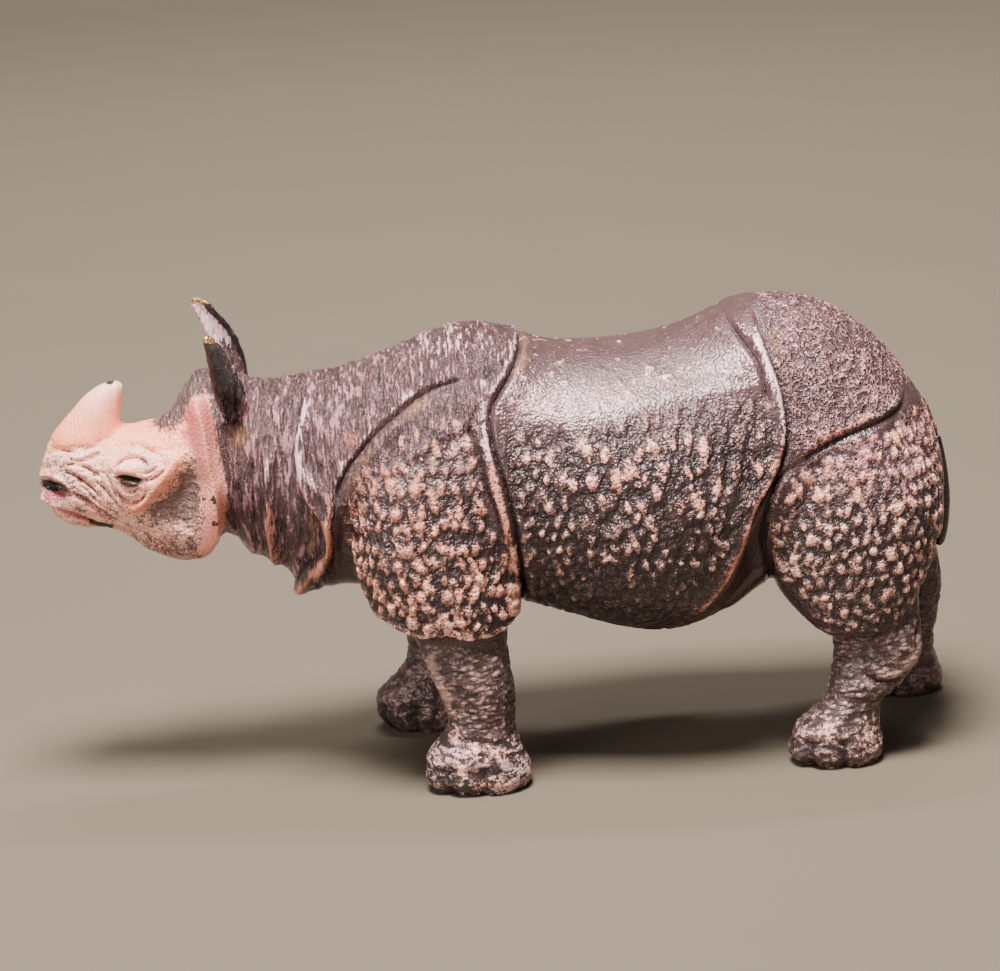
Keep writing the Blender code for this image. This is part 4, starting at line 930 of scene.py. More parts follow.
def brush_hide(amount, points, f):
    """Sets the amounts of the coats that cover the hide, from its fields f. Low down the pebbles are
    salmon and cream, higher up they take a pale sheen that is partly painted highlight, and the near feet
    are rubbed pale, with painted highlights on them."""
    x, y, z = points.T
    high = smooth_step(z, 50.0, 56.0)
    varied = 0.55 + 0.8 * f["lot"]
    glow = bell(z - 53.0, 8.5) * smooth_step(x, 3.0, 14.0)
    dark_front = smooth_step(x, -15.0, -7.0) * smooth_step(z, 40.0, 46.0)
    amount["salmon"] = np.maximum.reduce([
        f["shoulder"] * (0.82 - 0.36 * dark_front) * varied * (1.0 - 0.5 * smooth_step(z, 54.0, 59.0)),
        f["flank"] * np.maximum(0.5 * glow, 0.16 * smooth_step(z, 36.0, 46.0)) * varied
        * (1.0 - smooth_step(z, 59.0, 62.5)),
        f["thigh"] * (0.3 + 0.26 * smooth_step(z, 38.0, 48.0)) * varied,
        0.22 * f["crest"] * (1.0 - high), 0.14 * f["rump"], 0.05 * f["neck"],
    ])
    feet = 1.0 - smooth_step(z, 8.0, 11.5)
    near_side = smooth_step(-y, 0.0, 1.0)
    fore = near_side * smooth_step(-x, -20.0, -16.0)
    skin = 0.5 + 0.5 * f["out"]
    muzzle = bell(x + 71.0, 4.5) * bell(z - 53.5, 3.5)
    chin = bell(z - 41.0, 4.0)
    brow = smooth_step(z, 57.0, 60.0)
    # Less cream on the jowl: painted shade in the hollow between the cheekbone and the jaw.
    amount["cream"] = np.maximum.reduce([
        f["head"] * (1.0 - f["hump"])
        * (0.62 - 0.4 * f["jowl"] - 0.14 * muzzle - 0.28 * chin + 0.14 * brow),
        f["hem"] * 0.42 * f["shoulder"], 0.2 * feet * near_side * skin,
        0.44 * f["thigh"] * bell(z - 42.0, 13.0) * varied,
        (0.26 + 0.24 * (1.0 - smooth_step(z, 30.0, 38.0))) * f["shoulder"]
        * (1.0 - smooth_step(z, 42.0, 50.0)) * varied,
        0.24 * f["flank"] * smooth_step(z, 33.0, 40.0) * (1.0 - smooth_step(z, 58.0, 62.0)) * varied,
        0.46 * f["sparks"],
    ])
    amount["tan"] = np.maximum.reduce([
        (0.36 + 0.04 * near_side) * f["legs"] * skin, (0.4 + 0.06 * near_side) * feet * skin,
        0.36 * f["flank"] * smooth_step(z, 26.0, 40.0) * varied, 0.5 * f["thigh"], 0.46 * f["shoulder"],
    ])
    amount["peach"] = f["head"] * (1.0 - f["hump"]) * np.maximum(0.9 * smooth_step(z, 58.0, 60.6), 0.34)
    # A painted highlight: a stripe of pale coats along the back and the upper flank, where the light from
    # overhead is reflected.
    highlight_band = bell(z - 64.5, 3.6) * np.maximum(f["back"], f["flank"])
    # Pale mauve-pink on the raised and upper hide: partly a dry-brush, partly a painted sheen and painted
    # highlights.
    amount["lavender"] = np.maximum.reduce([
        0.3 * f["neck"], 0.36 * f["rump"], 0.08 * f["back"], 0.16 * f["rough"], 0.16 * f["hump"],
        0.3 * f["yoke"], 0.3 * f["withers"], 0.14 * smooth_step(z, 62.0, 68.0) * (1.0 - f["head"]),
        0.46 * f["shoulder"] * smooth_step(z, 52.0, 58.0), 0.4 * f["crest"] * high,
        0.26 * f["flank"] * smooth_step(z, 44.0, 56.0), 0.46 * highlight_band,
        f["thigh"] * (0.34 + 0.36 * smooth_step(z, 43.0, 50.0)), 0.36 * feet * f["out"] * near_side,
    ])
    # Painted highlights: pale glints on the upper crests, the withers, the rump, the tops of the near feet
    # and the highlight along the back.
    amount["pearl"] = np.maximum.reduce([
        0.36 * f["crest"] * high, 0.14 * f["withers"], 0.05 * f["neck"], 0.18 * f["rump"],
        (0.4 + 0.14 * fore) * feet * f["out"] * near_side, 0.2 * highlight_band,
    ])
    amount["rose"] = 0.84 * f["jaw_band"]
    amount["horn"] = f["horn"]


def paint_ears_and_tail(amount, points, normals):
    """Sets black on the backs of the ears and the tail, a pale pink painted reflection in the ears'
    hollows, and brass at their points. A hollow is where the ear faces ahead and inwards, up to a line that
    leans as the ear does."""
    x, y, z = points.T
    ears = smooth_step(z, 66.5, 68.5) * smooth_step(np.abs(y), 6.8, 7.6) * smooth_step(x, -54.0, -50.0)
    ears *= 1.0 - smooth_step(x, -40.6, -39.6)
    turn = math.radians(EAR_TURN)
    facing = -normals[:, 0] * math.cos(turn) - np.sign(y) * normals[:, 1] * math.sin(turn)
    lean = np.where(y > 0, 6.0, 3.3) * (np.maximum(z - 66.0, 0.0) / 13.0) ** 1.6
    hollow = smooth_step(facing, 0.2, 0.6) * (1.0 - smooth_step(x + 43.0 + lean, 1.1, 2.2))
    for coat in ("salmon", "cream", "peach", "rose", "ochre", "lavender"):
        amount[coat] *= 1.0 - ears
    # A painted reflection in the hollows of the ears.
    amount["pearl"] = amount["pearl"] * (1.0 - ears) + ears * hollow * smooth_step(z, 70.0, 74.0)
    tips = np.where(y < 0, smooth_step(z, 76.8, 77.8), smooth_step(z, 78.4, 79.2))
    tail = smooth_step(x, 71.5, 72.6) * (1.0 - smooth_step(np.abs(y), 2.0, 3.0))
    tail *= 1.0 - smooth_step(z, 50.0, 54.0)
    amount["black"] = np.maximum(ears * (1.0 - hollow) * 0.9, tail)
    amount["brass"] = 0.8 * ears * tips


def lay_lines_and_spots(amount, points, out):
    """Raises the amounts along the painted lines, which fade at both ends, and in the painted spots."""
    for coat, side, half_width, strength, line in PAINT_LINES:
        near, gap, along, full = along_line(points, side, line, 3.0 * half_width)
        reach = min(2.0, full / 4)
        fade = smooth_step(along, -0.01, reach) * smooth_step(full - along, -0.01, reach)
        laid = strength * fade * bell(gap, half_width) * out[near]
        amount[coat][near] = np.maximum(amount[coat][near], laid)
    for coat, side, x, z, half_length, half_height, rise, strength in PAINT_SPOTS:
        gap = oval_gap(points, x, z, half_length, half_height, rise)
        laid = strength * on_side(points, side) * out * beside_nose(points) * np.exp(-(gap**3))
        amount[coat] = np.maximum(amount[coat], laid)


def coat_amounts(points, normals, fields):
    """How much of each coat of paint lies on every point, from 0 to 1."""
    amount = {coat: np.zeros(len(points)) for coat in COATS}
    brush_hide(amount, points, fields)
    paint_ears_and_tail(amount, points, normals)
    lay_lines_and_spots(amount, points, fields["out"])
    return amount


def mesh_arrays(mesh):
    """The points and point normals of a mesh as arrays."""
    count = len(mesh.vertices)
    points, normals = np.empty(count * 3), np.empty(count * 3)
    mesh.vertices.foreach_get("co", points)
    mesh.vertex_normals.foreach_get("vector", normals)
    return points.reshape(-1, 3), normals.reshape(-1, 3)


def carve(mesh, hide):
    """Moves every point of the cast square to its surface by the folds, the bosses and the fine relief,
    and keeps the relief, the grooves, the kinds of hide and the coats of paint as attributes."""
    points, normals = mesh_arrays(mesh)
    out = outwards(points, normals)
    folds, crest, groove, depth = fold_heights(points)
    stamps = stamp_heights(points)
    toes = toe_heights(points, normals)
    fine, f = hide_relief(points, normals, hide.pebble_spacing, hide.pebble_depth, hide.wrinkle_depth)
    f["crest"] = np.clip(out * crest, 0.0, 1.0)
    coats = coat_amounts(points, normals, f)
    relief = 0.25 * f["crest"] + 0.3 * out * stamps + 0.4 * toes
    relief += f["pebbled"] * 1.4 * (f["dome"] - 0.45) + 0.14 * np.maximum(f["shoulder"], f["thigh"])
    relief += 0.5 * f["neck"] * (f["strands"] - 0.1) + 0.5 * f["rump"] * (f["worms"] - 0.45)
    relief += 0.5 * f["legs"] * (f["cracks"] - 0.5) + 0.2 * f["back"] * f["dots"]
    relief += 0.3 * f["rough"] * f["dots"] + 0.3 * f["face"] * f["grain"]
    z = points[:, 2]
    # The lighter mauve ground: partly real wear, partly painted light, growing lighter higher up where the
    # light from above falls.
    worn = np.maximum.reduce([
        0.52 * f["neck"], 0.6 * f["rump"], 0.5 * f["hump"],
        f["back"] * (0.5 - 0.34 * smooth_step(z, 65.0, 70.0)),
        f["thigh"] * (0.3 + 0.6 * smooth_step(z, 42.0, 51.0)),
        f["shoulder"] * (0.3 + 0.5 * smooth_step(z, 50.0, 58.0)),
        f["flank"] * (0.05 + 0.65 * smooth_step(z, 55.0, 62.0)),
        0.25 + 0.25 * smooth_step(z, 58.0, 64.0),
    ])
    kept = {
        "relief": np.clip(relief, -RELIEF_LIMIT, RELIEF_LIMIT),
        "worn": worn,
        "face": f["head"],
        "wrinkled": np.maximum.reduce([f["neck"], f["hump"], 0.8 * f["yoke"]]),
        "wormy": np.maximum.reduce([f["rump"], 0.4 * f["rough"], 0.12 * f["back"]]),
        "pebbled": f["pebbled"],
        "cracked": f["legs"] * (0.45 + 0.55 * smooth_step(z, 5.0, 10.0)),
        "smooth": f["horn"],
        "groove_gap": np.clip(groove, -CREASE_REACH, CREASE_REACH),
        "groove_depth": out * depth,
    }
    moved = points + normals * (out * (folds + stamps) + toes + fine)[:, None]
    moved = (moved - (CENTRE, 0.0, GROUND)) * UNIT
    mesh.vertices.foreach_set("co", moved.ravel())
    for name, values in {**kept, **coats}.items():
        mesh.attributes.new(name, "FLOAT", "POINT").data.foreach_set("value", values)
    mesh.update()


def with_modifier(obj, kind, **settings):
    """Gives the object a modifier, applies it by copying the evaluated mesh, and removes it."""
    modifier = obj.modifiers.new(kind.title(), kind)
    for name, value in settings.items():
        setattr(modifier, name, value)
    graph = bpy.context.evaluated_depsgraph_get()
    old = obj.data
    obj.data = bpy.data.meshes.new_from_object(obj.evaluated_get(graph))
    obj.modifiers.clear()
    bpy.data.meshes.remove(old)


def refine_head(mesh):
    """Splits every face ahead of the neck into four."""
    made = bmesh.new()
    made.from_mesh(mesh)
    edges = [e for e in made.edges if e.verts[0].co.x < HEAD_BACK and e.verts[1].co.x < HEAD_BACK]
    bmesh.ops.subdivide_edges(made, edges=edges, cuts=1, use_grid_fill=True)
    made.to_mesh(mesh)
    made.free()


def flat_soles(mesh):
    """Cuts the feet flat on the ground and closes the cuts."""
    made = bmesh.new()
    made.from_mesh(mesh)
    whole = list(made.verts) + list(made.edges) + list(made.faces)
    cut = bmesh.ops.bisect_plane(made, geom=whole, plane_co=(0, 0, 0), plane_no=(0, 0, 1), clear_inner=True)
    rim = [e for e in cut["geom_cut"] if isinstance(e, bmesh.types.BMEdge)]
    bmesh.ops.holes_fill(made, edges=rim)
    bmesh.ops.triangulate(made, faces=made.faces)
    bmesh.ops.recalc_face_normals(made, faces=made.faces)
    made.to_mesh(mesh)
    made.free()


def add(tree, kind, inputs=None, **settings):
    """A node with its settings, and its inputs set to values or linked to sockets."""
    node = tree.nodes.new(kind)
    for name, value in settings.items():
        setattr(node, name, value)
    for key, value in (inputs or {}).items():
        if isinstance(value, bpy.types.NodeSocket):
            tree.links.new(value, node.inputs[key])
        else:
            node.inputs[key].default_value = value
    return node


def math_node(tree, operation, *values):
    """Socket of a sum, product or other operation on sockets and numbers."""
    return add(tree, "ShaderNodeMath", dict(enumerate(values)), operation=operation).outputs[0]


def ramp(tree, value, low, high):
    """0 where the value is at low, 1 where it is at high, and an S between them; low may be the greater."""
    return add(
        tree, "ShaderNodeMapRange", {"Value": value, "From Min": low, "From Max": high},
        interpolation_type="SMOOTHSTEP",
    ).outputs[0]


def sum_of(tree, first, *terms):
    """Socket of first plus each socket times its factor."""
    total = first
    for socket, factor in terms:
        total = math_node(tree, "MULTIPLY_ADD", socket, factor, total)
    return total


def times(tree, first, *others):
    """Product of sockets and numbers."""
    for other in others:
        first = math_node(tree, "MULTIPLY", first, other)
    return first


def centred(tree, socket, gain):
    """Noise moved to swing about zero, with the given gain."""
    return math_node(tree, "MULTIPLY_ADD", socket, gain, -0.5 * gain)


def falling(tree, socket, near, far):
    """1 where the socket is within the near distance of zero, 0 beyond the far one."""
    return ramp(tree, math_node(tree, "ABSOLUTE", socket), far, near)


def noise(tree, vector, size, detail=3.0, rough=0.6, lift=0.0, stretch=(1.0, 1.0, 1.0)):
    """Noise of the given feature size in metres; stretch lengthens it along an axis."""
    place = add(
        tree, "ShaderNodeMapping", {"Vector": vector, "Location": (lift, lift, lift), "Scale": stretch},
    ).outputs[0]
    inputs = {"Vector": place, "Scale": 1.0 / size, "Detail": detail, "Roughness": rough}
    return add(tree, "ShaderNodeTexNoise", inputs).outputs["Fac"]


def shaken_place(tree, place, socket, metres):
    """Place with the socket times the metres added to each part of it."""
    moved = times(tree, socket, metres)
    return add(tree, "ShaderNodeVectorMath", {0: place, 1: moved}, operation="ADD").outputs[0]


def knobs(tree, vector, size, stretch):
    """Rounded knobs of the given spacing in metres: 1 on their tops, 0 between them."""
    place = add(tree, "ShaderNodeMapping", {"Vector": vector, "Scale": stretch}).outputs[0]
    gap = add(
        tree, "ShaderNodeTexVoronoi", {"Vector": place, "Scale": 1.0 / size, "Randomness": 0.9},
    ).outputs["Distance"]
    return ramp(tree, gap, 0.62, 0.1)


def new_group(name, inputs, outputs):
    """An empty shader group with float inputs of given defaults and float outputs."""
    tree = bpy.data.node_groups.new(name, "ShaderNodeTree")
    for label, value in inputs.items():
        socket = tree.interface.new_socket(label, in_out="INPUT", socket_type="NodeSocketFloat")
        socket.default_value = value
    for label in outputs:
        tree.interface.new_socket(label, in_out="OUTPUT", socket_type="NodeSocketFloat")
    return tree, tree.nodes.new("NodeGroupInput").outputs, tree.nodes.new("NodeGroupOutput").inputs


def dabs_group():
    """Dry-brushed paint: a mask that is 1 where the brush left paint. It covers more as the amount
    grows, keeps to the raised hide by the rise, and breaks up with the grain."""
    tree, given, out = new_group(
        "dry_brush",
        {"Amount": 0.0, "Relief": 0.0, "Rise": 1.0, "Grain": 0.0, "Break": 1.0, "Soft": 0.15},
        ["Mask"],
    )
    level = math_node(tree, "MULTIPLY_ADD", given["Amount"], 1.5, -0.75)
    raised = times(tree, given["Relief"], given["Rise"])
    broken = times(tree, given["Grain"], given["Break"])
    total = math_node(tree, "ADD", math_node(tree, "ADD", level, raised), broken)
    mask = ramp(tree, total, math_node(tree, "SUBTRACT", 0.0, given["Soft"]), given["Soft"])
    present = ramp(tree, given["Amount"], 0.02, 0.12)
    tree.links.new(times(tree, mask, present), out["Mask"])
    return tree


def brushed(tree, group, amount, relief, grain, rise, breaking, soft):
    """Mask of one coat."""
    inputs = {
        "Amount": amount, "Relief": relief, "Rise": rise, "Grain": grain, "Break": breaking, "Soft": soft,
    }
    return add(tree, "ShaderNodeGroup", inputs, node_tree=group).outputs["Mask"]


def blend(tree, mask, under, over):
    """Colour over another by a mask."""
    inputs = {0: mask}
    for slot, value in ((6, under), (7, over)):
        inputs[slot] = value if isinstance(value, bpy.types.NodeSocket) else (*value, 1.0)
    return add(tree, "ShaderNodeMix", inputs, data_type="RGBA", blend_type="MIX").outputs[2]


def level_blend(tree, mask, under, over):
    """Number over another by a mask."""
    return add(tree, "ShaderNodeMix", {0: mask, 2: under, 3: over}, data_type="FLOAT").outputs[0]


def new_material(name):
    """An empty material with its node tree, its shader and the place on the piece."""
    material = bpy.data.materials.new(name)
    material.use_nodes = True
    tree = material.node_tree
    place = add(tree, "ShaderNodeTexCoord").outputs["Object"]
    return material, tree, tree.nodes["Principled BSDF"], place


def paint_patterns(tree, place, read):
    """The noises of the paint, the knobs and worms of the fine relief, and the mixed grains that break
    up the coats."""
    p = {name: noise(tree, place, *values) for name, values in NOISES.items()}
    p["worm"] = ramp(tree, math_node(tree, "ABSOLUTE", centred(tree, p["worm"], 1.0)), 0.13, 0.01)
    p["streak"] = noise(tree, shaken_place(tree, place, p["grain"], STREAK_SHAKE), *STREAK)
    gritty_place = shaken_place(tree, place, p["grit"], KNOB_SHAKE)
    p["small"] = knobs(tree, gritty_place, *SMALL_KNOBS)
    p["net"] = knobs(tree, gritty_place, *NET_KNOBS)
    p["uneven"] = sum_of(tree, 0.4, (p["grain"], 1.1))
    p["speckle"] = sum_of(
        tree, centred(tree, p["grain"], 1.8), (centred(tree, p["fine"], 2.0), 1.0),
        (centred(tree, p["grit"], 1.0), 1.0),
    )
    p["strokes"] = sum_of(tree, centred(tree, p["streak"], 2.8), (centred(tree, p["fine"], 0.9), 1.0))
    p["patchy"] = sum_of(tree, p["speckle"], (centred(tree, p["blotch"], 1.6), 0.55))
    p["dry"] = level_blend(tree, read["wrinkled"], p["speckle"], p["strokes"])
    p["broad"] = sum_of(
        tree, centred(tree, p["blotch"], 1.8), (centred(tree, p["grain"], 1.4), 1.0),
        (centred(tree, p["fine"], 1.0), 1.0),
    )
    return p


def worked_relief(tree, read, p):
    """The relief that the paint follows: the mesh's own with the fine patterns added, the lips of the folds
    raised to take a painted highlight and their grooves lowered to take painted shade. The groove comes
    with it."""
    offset = math_node(tree, "SUBTRACT", read["groove_gap"], LIP_PLACE)
    lip_highlight = times(tree, falling(tree, offset, 0.1, 0.6), read["groove_depth"], p["uneven"])
    groove = times(tree, falling(tree, read["groove_gap"], 0.03, 0.27), read["groove_depth"], p["uneven"])
    groove = times(tree, groove, level_blend(tree, read["face"], 1.0, 0.8))
    relief = sum_of(
        tree, read["relief"], (lip_highlight, 0.26), (groove, -0.8),
        (times(tree, centred(tree, p["small"], 1.0), read["pebbled"]), 0.6),
        (times(tree, centred(tree, p["worm"], 1.0), p["uneven"], read["wormy"]), 0.5),
        (times(tree, centred(tree, p["streak"], 1.0), read["wrinkled"]), 1.2),
        (times(tree, centred(tree, p["net"], 1.0), read["cracked"]), 0.6),
    )
    return relief, groove


def layered_colour(tree, paint, place, read, p, relief, masks, wash_and_shade):
    """The coats one over the other: the ground, lighter where rubbed and where the light falls, the
    dry-brushed coats, painted shade in the hollows and pits, and last the eyes, the mouth, the black parts
    and the brass."""
    # The ground turns from umber to mauve where the hide is rubbed and where the light falls: partly
    # painted light.
    ground = sum_of(tree, read["worn"], (centred(tree, p["blotch"], 1.6), 0.6))
    colour = blend(tree, ground, paint.umber, paint.mauve)
    colour = blend(tree, read["face"], colour, paint.wash_and_shade)
    for coat in ("lavender", "pearl", "ochre", "tan"):
        colour = blend(tree, masks[coat], colour, getattr(paint, coat))
    # Lighter salmon on the tops of the relief and darker at the edges: thicker paint and painted light.
    thick_and_lit = ramp(tree, sum_of(tree, relief, (p["speckle"], 0.35)), 0.0, 0.6)
    colour = blend(tree, masks["salmon"], colour, blend(tree, thick_and_lit, paint.salmon, paint.salmon_light))
    colour = blend(tree, masks["cream"], colour, blend(tree, masks["peach"], paint.cream, paint.peach))
    z = add(tree, "ShaderNodeSeparateXYZ", {"Vector": place}).outputs["Z"]
    level = sum_of(tree, z, (p["blotch"], 0.004))
    rose = blend(tree, ramp(tree, level, 0.054, 0.064), paint.rose_light, paint.rose)
    colour = blend(tree, masks["rose"], colour, rose)
    horn = blend(tree, ramp(tree, level, 0.063, 0.071), paint.horn, paint.horn_light)
    colour = blend(tree, masks["horn"], colour, horn)
    # Painted shade for the hollows: black, umber where the ground is lighter, and the face's own dark paint
    # on the face.
    dark = blend(tree, read["worn"], paint.black, paint.umber)
    hollow_shade = blend(tree, read["face"], dark, paint.wash_and_shade)
    colour = blend(tree, times(tree, wash_and_shade, level_blend(tree, read["face"], 1.0, 0.8)), colour, hollow_shade)
    # Painted shade: small black pits in the pebbled hide, with no pits in the mesh or the bump under them.
    pit_shade = times(tree, ramp(tree, p["pits"], 0.42, 0.34), read["pebbled"])
    colour = blend(tree, pit_shade, colour, paint.black)
    for coat in ("olive", "mouth", "black", "brass"):
        colour = blend(tree, masks[coat], colour, getattr(paint, coat))
    return colour


def coat_roughness(tree, read, p, masks, wash_and_shade):
    """Waxed ground with duller coats, the painted shade of the hollows and cracked skin over it."""
    rough = level_blend(tree, p["grain"], 0.16, 0.3)
    for mask, value in (
        (masks["tan"], 0.4), (masks["salmon"], 0.4), (masks["cream"], 0.46), (masks["horn"], 0.45),
        (wash_and_shade, 0.36), (times(tree, read["cracked"], 0.6), 0.5),
    ):
        rough = level_blend(tree, mask, rough, value)
    return rough


def bump_height(tree, read, p, groove):
    """Height of the bump: what is finer than the mesh, each pattern on its own kind of hide."""
    return sum_of(
        tree, times(tree, p["grit"], level_blend(tree, read["smooth"], 0.42, 0.1)),
        (groove, -0.6),
        (times(tree, p["streak"], read["wrinkled"]), 4.4),
        (times(tree, p["worm"], p["uneven"], read["wormy"]), 0.8),
        (times(tree, p["grit"], read["pebbled"]), 0.7),
        (times(tree, p["small"], read["pebbled"]), 0.55),
        (times(tree, p["net"], read["cracked"]), 0.5),
        (times(tree, p["grit"], level_blend(tree, read["smooth"], read["face"], 0.0)), 0.3),
        (times(tree, p["streak"], read["smooth"]), 0.9),
    )


def painted_bronze(paint):
    """Thin coats of cold paint over dark bronze, from the umber ground up to the bare brass."""
    material, tree, shader, place = new_material("painted_bronze")
    read = {
        name: add(tree, "ShaderNodeAttribute", attribute_name=name).outputs["Fac"]
        for name in (*HIDE_FIELDS, *COATS)
    }
    p = paint_patterns(tree, place, read)
    relief, groove = worked_relief(tree, read, p)
    dabs = dabs_group()
    masks = {
        coat: brushed(tree, dabs, read[coat], relief, p[grain], *stroke)
        for coat, (grain, *stroke) in BRUSHES.items()
    }
    # Painted shade: the low parts of the relief are darkened, less so on the lighter pebbles.
    low = ramp(tree, sum_of(tree, relief, (p["speckle"], 0.25)), -0.15, -0.75)
    spared = times(tree, read["worn"], read["pebbled"])
    wash_and_shade = times(tree, low, math_node(tree, "MULTIPLY_ADD", spared, -0.6, 1.0))
    colour = layered_colour(tree, paint, place, read, p, relief, masks, wash_and_shade)
    tree.links.new(colour, shader.inputs["Base Color"])
    tree.links.new(coat_roughness(tree, read, p, masks, wash_and_shade), shader.inputs["Roughness"])
    tree.links.new(times(tree, masks["brass"], 0.9), shader.inputs["Metallic"])
    shader.inputs["Specular IOR Level"].default_value = 0.75
    shader.inputs["Specular Tint"].default_value = (1.0, 0.80, 0.80, 1.0)
    height = bump_height(tree, read, p, groove)
    bump = add(tree, "ShaderNodeBump", {"Height": height, "Strength": 1.0, "Distance": BUMP_DEPTH})
    tree.links.new(bump.outputs[0], shader.inputs["Normal"])
    return material


def plain_paint(name, colour, rough):
    """A matt studio paint with a faint mottle and tooth."""
    material, tree, shader, place = new_material(name)
    darker = tuple(0.93 * c for c in colour)
    tree.links.new(blend(tree, noise(tree, place, 0.05, 2.0), darker, colour), shader.inputs["Base Color"])
    shader.inputs["Roughness"].default_value = rough
    tooth = noise(tree, place, 0.0012)
    bump = add(tree, "ShaderNodeBump", {"Height": tooth, "Strength": 0.15, "Distance": BUMP_DEPTH})
    tree.links.new(bump.outputs[0], shader.inputs["Normal"])
    return material


def colour_value(name, description, default):
    """A colour of the paint box."""
    return bpy.props.FloatVectorProperty(
        name=name, description=description, subtype="COLOR", size=3, min=0.0, max=1.0, default=default
    )


class HideSettings(bpy.types.PropertyGroup):
    """How finely the animal is cast, and how deep its hide is worked."""

    grain: bpy.props.FloatProperty(
        name="Grain", description="Voxel size of the cast, in model millimetres",
        default=0.33, min=0.2, max=1.0)
    smoothing: bpy.props.IntProperty(
        name="Smoothing", description="Rounds of smoothing where the forms meet",
        default=10, min=0, max=30)
    triangles: bpy.props.IntProperty(
        name="Triangles", description="Most triangles kept in the figure",
        default=194000, min=20000, max=199000)
    pebble_spacing: bpy.props.FloatProperty(
        name="Pebble spacing", description="Spacing of the flank's pebbles, in model millimetres",
        default=2.6, min=1.0)
    pebble_depth: bpy.props.FloatProperty(
        name="Pebble depth", description="Depth between the pebbles, in model millimetres",
        default=0.95, min=0.0)
    wrinkle_depth: bpy.props.FloatProperty(
        name="Wrinkle depth", description="Depth of the fine wrinkles, in model millimetres",
        default=0.3, min=0.0)


class PaintSettings(bpy.types.PropertyGroup):
    """The paint box."""

    umber: colour_value("Umber", "Ground of the hide", (0.028, 0.019, 0.018))
    # Partly real wear, partly painted light on the upper hide.
    mauve: colour_value("Mauve", "Worn ground of the hide", (0.120, 0.064, 0.068))
    # Partly a pale dry-brush, partly a painted sheen and painted highlights on the raised and upper hide.
    lavender: colour_value("Lavender", "Polished high spots of the back and neck", (0.38, 0.18, 0.20))
    # Painted highlights and reflections: the brightest crests, the near feet and the hollows of the ears.
    pearl: colour_value("Pearl", "Inside of the ears and brightest crests", (0.80, 0.55, 0.58))
    tan: colour_value("Tan", "Worn skin of legs and feet", (0.33, 0.21, 0.175))
    ochre: colour_value("Ochre", "Stain along the folds", (0.24, 0.12, 0.06))
    salmon: colour_value("Salmon", "Dry brush on the pebbles", (0.46, 0.18, 0.13))
    # Partly thicker paint, partly a painted highlight on the tops of the pebbles.
    salmon_light: colour_value("Light salmon", "Thicker dry brush on the pebbles", (0.86, 0.35, 0.25))
    cream: colour_value("Cream", "Face and hem", (0.94, 0.50, 0.39))
    peach: colour_value("Peach", "Forehead and cheekbone", (0.92, 0.32, 0.18))
    rose: colour_value("Rose", "Fold behind the jaw", (0.54, 0.15, 0.13))
    rose_light: colour_value("Light rose", "Worn fold behind the jaw", (0.88, 0.34, 0.25))
    horn: colour_value("Horn", "Root of the horn", (0.92, 0.27, 0.14))
    horn_light: colour_value("Light horn", "Point of the horn", (0.99, 0.49, 0.38))
    olive: colour_value("Olive", "Eye", (0.035, 0.024, 0.012))
    # Also the painted shade in the hollows of the face, and the face's dark ground.
    wash_and_shade: colour_value("Wash", "Thin dark wash in the wrinkles of the face", (0.12, 0.070, 0.060))
    mouth: colour_value("Mouth", "Inside of mouth and nostril", (0.34, 0.07, 0.08))
    # Also the painted shade in the hollows and pits of the hide.
    black: colour_value("Black", "Recesses, ears and tail", (0.014, 0.011, 0.011))
    brass: colour_value("Brass", "Bare metal at the ears' points", (0.62, 0.40, 0.16))


class StageSettings(bpy.types.PropertyGroup):
    """Floor, light and camera."""

    floor_colour: colour_value("Floor", "Colour of the floor and backdrop", (0.118, 0.096, 0.068))
    floor_width: bpy.props.FloatProperty(
        name="Floor width", description="Width of the floor", default=3.0, min=0.5, unit="LENGTH")
    key_watts: bpy.props.FloatProperty(
        name="Key light", description="Power of the soft light overhead, in watts", default=15.0, min=0.0)
    fill_watts: bpy.props.FloatProperty(
        name="Fill light", description="Power of the light in front, in watts", default=3.0, min=0.0)
    backdrop_watts: bpy.props.FloatProperty(
        name="Backdrop light", description="Power of the light on the backdrop, in watts",
        default=37.0, min=0.0)
    distance: bpy.props.FloatProperty(
        name="Distance", description="Camera to the animal", default=0.56, min=0.1, unit="LENGTH")
    yaw: bpy.props.FloatProperty(
        name="Yaw", description="Turn of the view towards the head",
        default=math.radians(3.0), subtype="ANGLE")
    pitch: bpy.props.FloatProperty(
        name="Pitch", description="Height of the view", default=math.radians(15.0), subtype="ANGLE")
    roll: bpy.props.FloatProperty(
        name="Roll", description="Tilt of the picture", default=math.radians(3.3), subtype="ANGLE")
    lens: bpy.props.FloatProperty(
        name="Lens", description="Focal length, in millimetres", default=120.96, min=20.0)


class RHINO_OT_cast(bpy.types.Operator):
    """Casts the animal, carves its hide and paints it"""

    bl_idname = "rhino.cast"
    bl_label = "Cast the rhinoceros"

    def execute(self, context):
        hide = context.scene.rhino_hide
        figure = bpy.data.objects.new("rhinoceros_hide", skin_mesh("rhinoceros_hide", loft_forms()))
        collection = bpy.data.collections.new("rhinoceros_looks")
        context.scene.collection.children.link(collection)
        collection.objects.link(figure)
        with_modifier(figure, "REMESH", mode="VOXEL", voxel_size=hide.grain)
        with_modifier(figure, "SMOOTH", factor=0.5, iterations=hide.smoothing)
        refine_head(figure.data)
        carve(figure.data, hide)
        with_modifier(figure, "SMOOTH", factor=0.2, iterations=1)
        corners = sum(len(p.vertices) - 2 for p in figure.data.polygons)
        with_modifier(figure, "DECIMATE", ratio=hide.triangles / corners)
        flat_soles(figure.data)
        figure.data.name = "rhinoceros_hide"
        figure.data.shade_smooth()
        figure.data.materials.clear()
        figure.data.materials.append(painted_bronze(context.scene.rhino_paint))
        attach(figure, "root")
        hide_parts("rhinoceros")
        return {"FINISHED"}


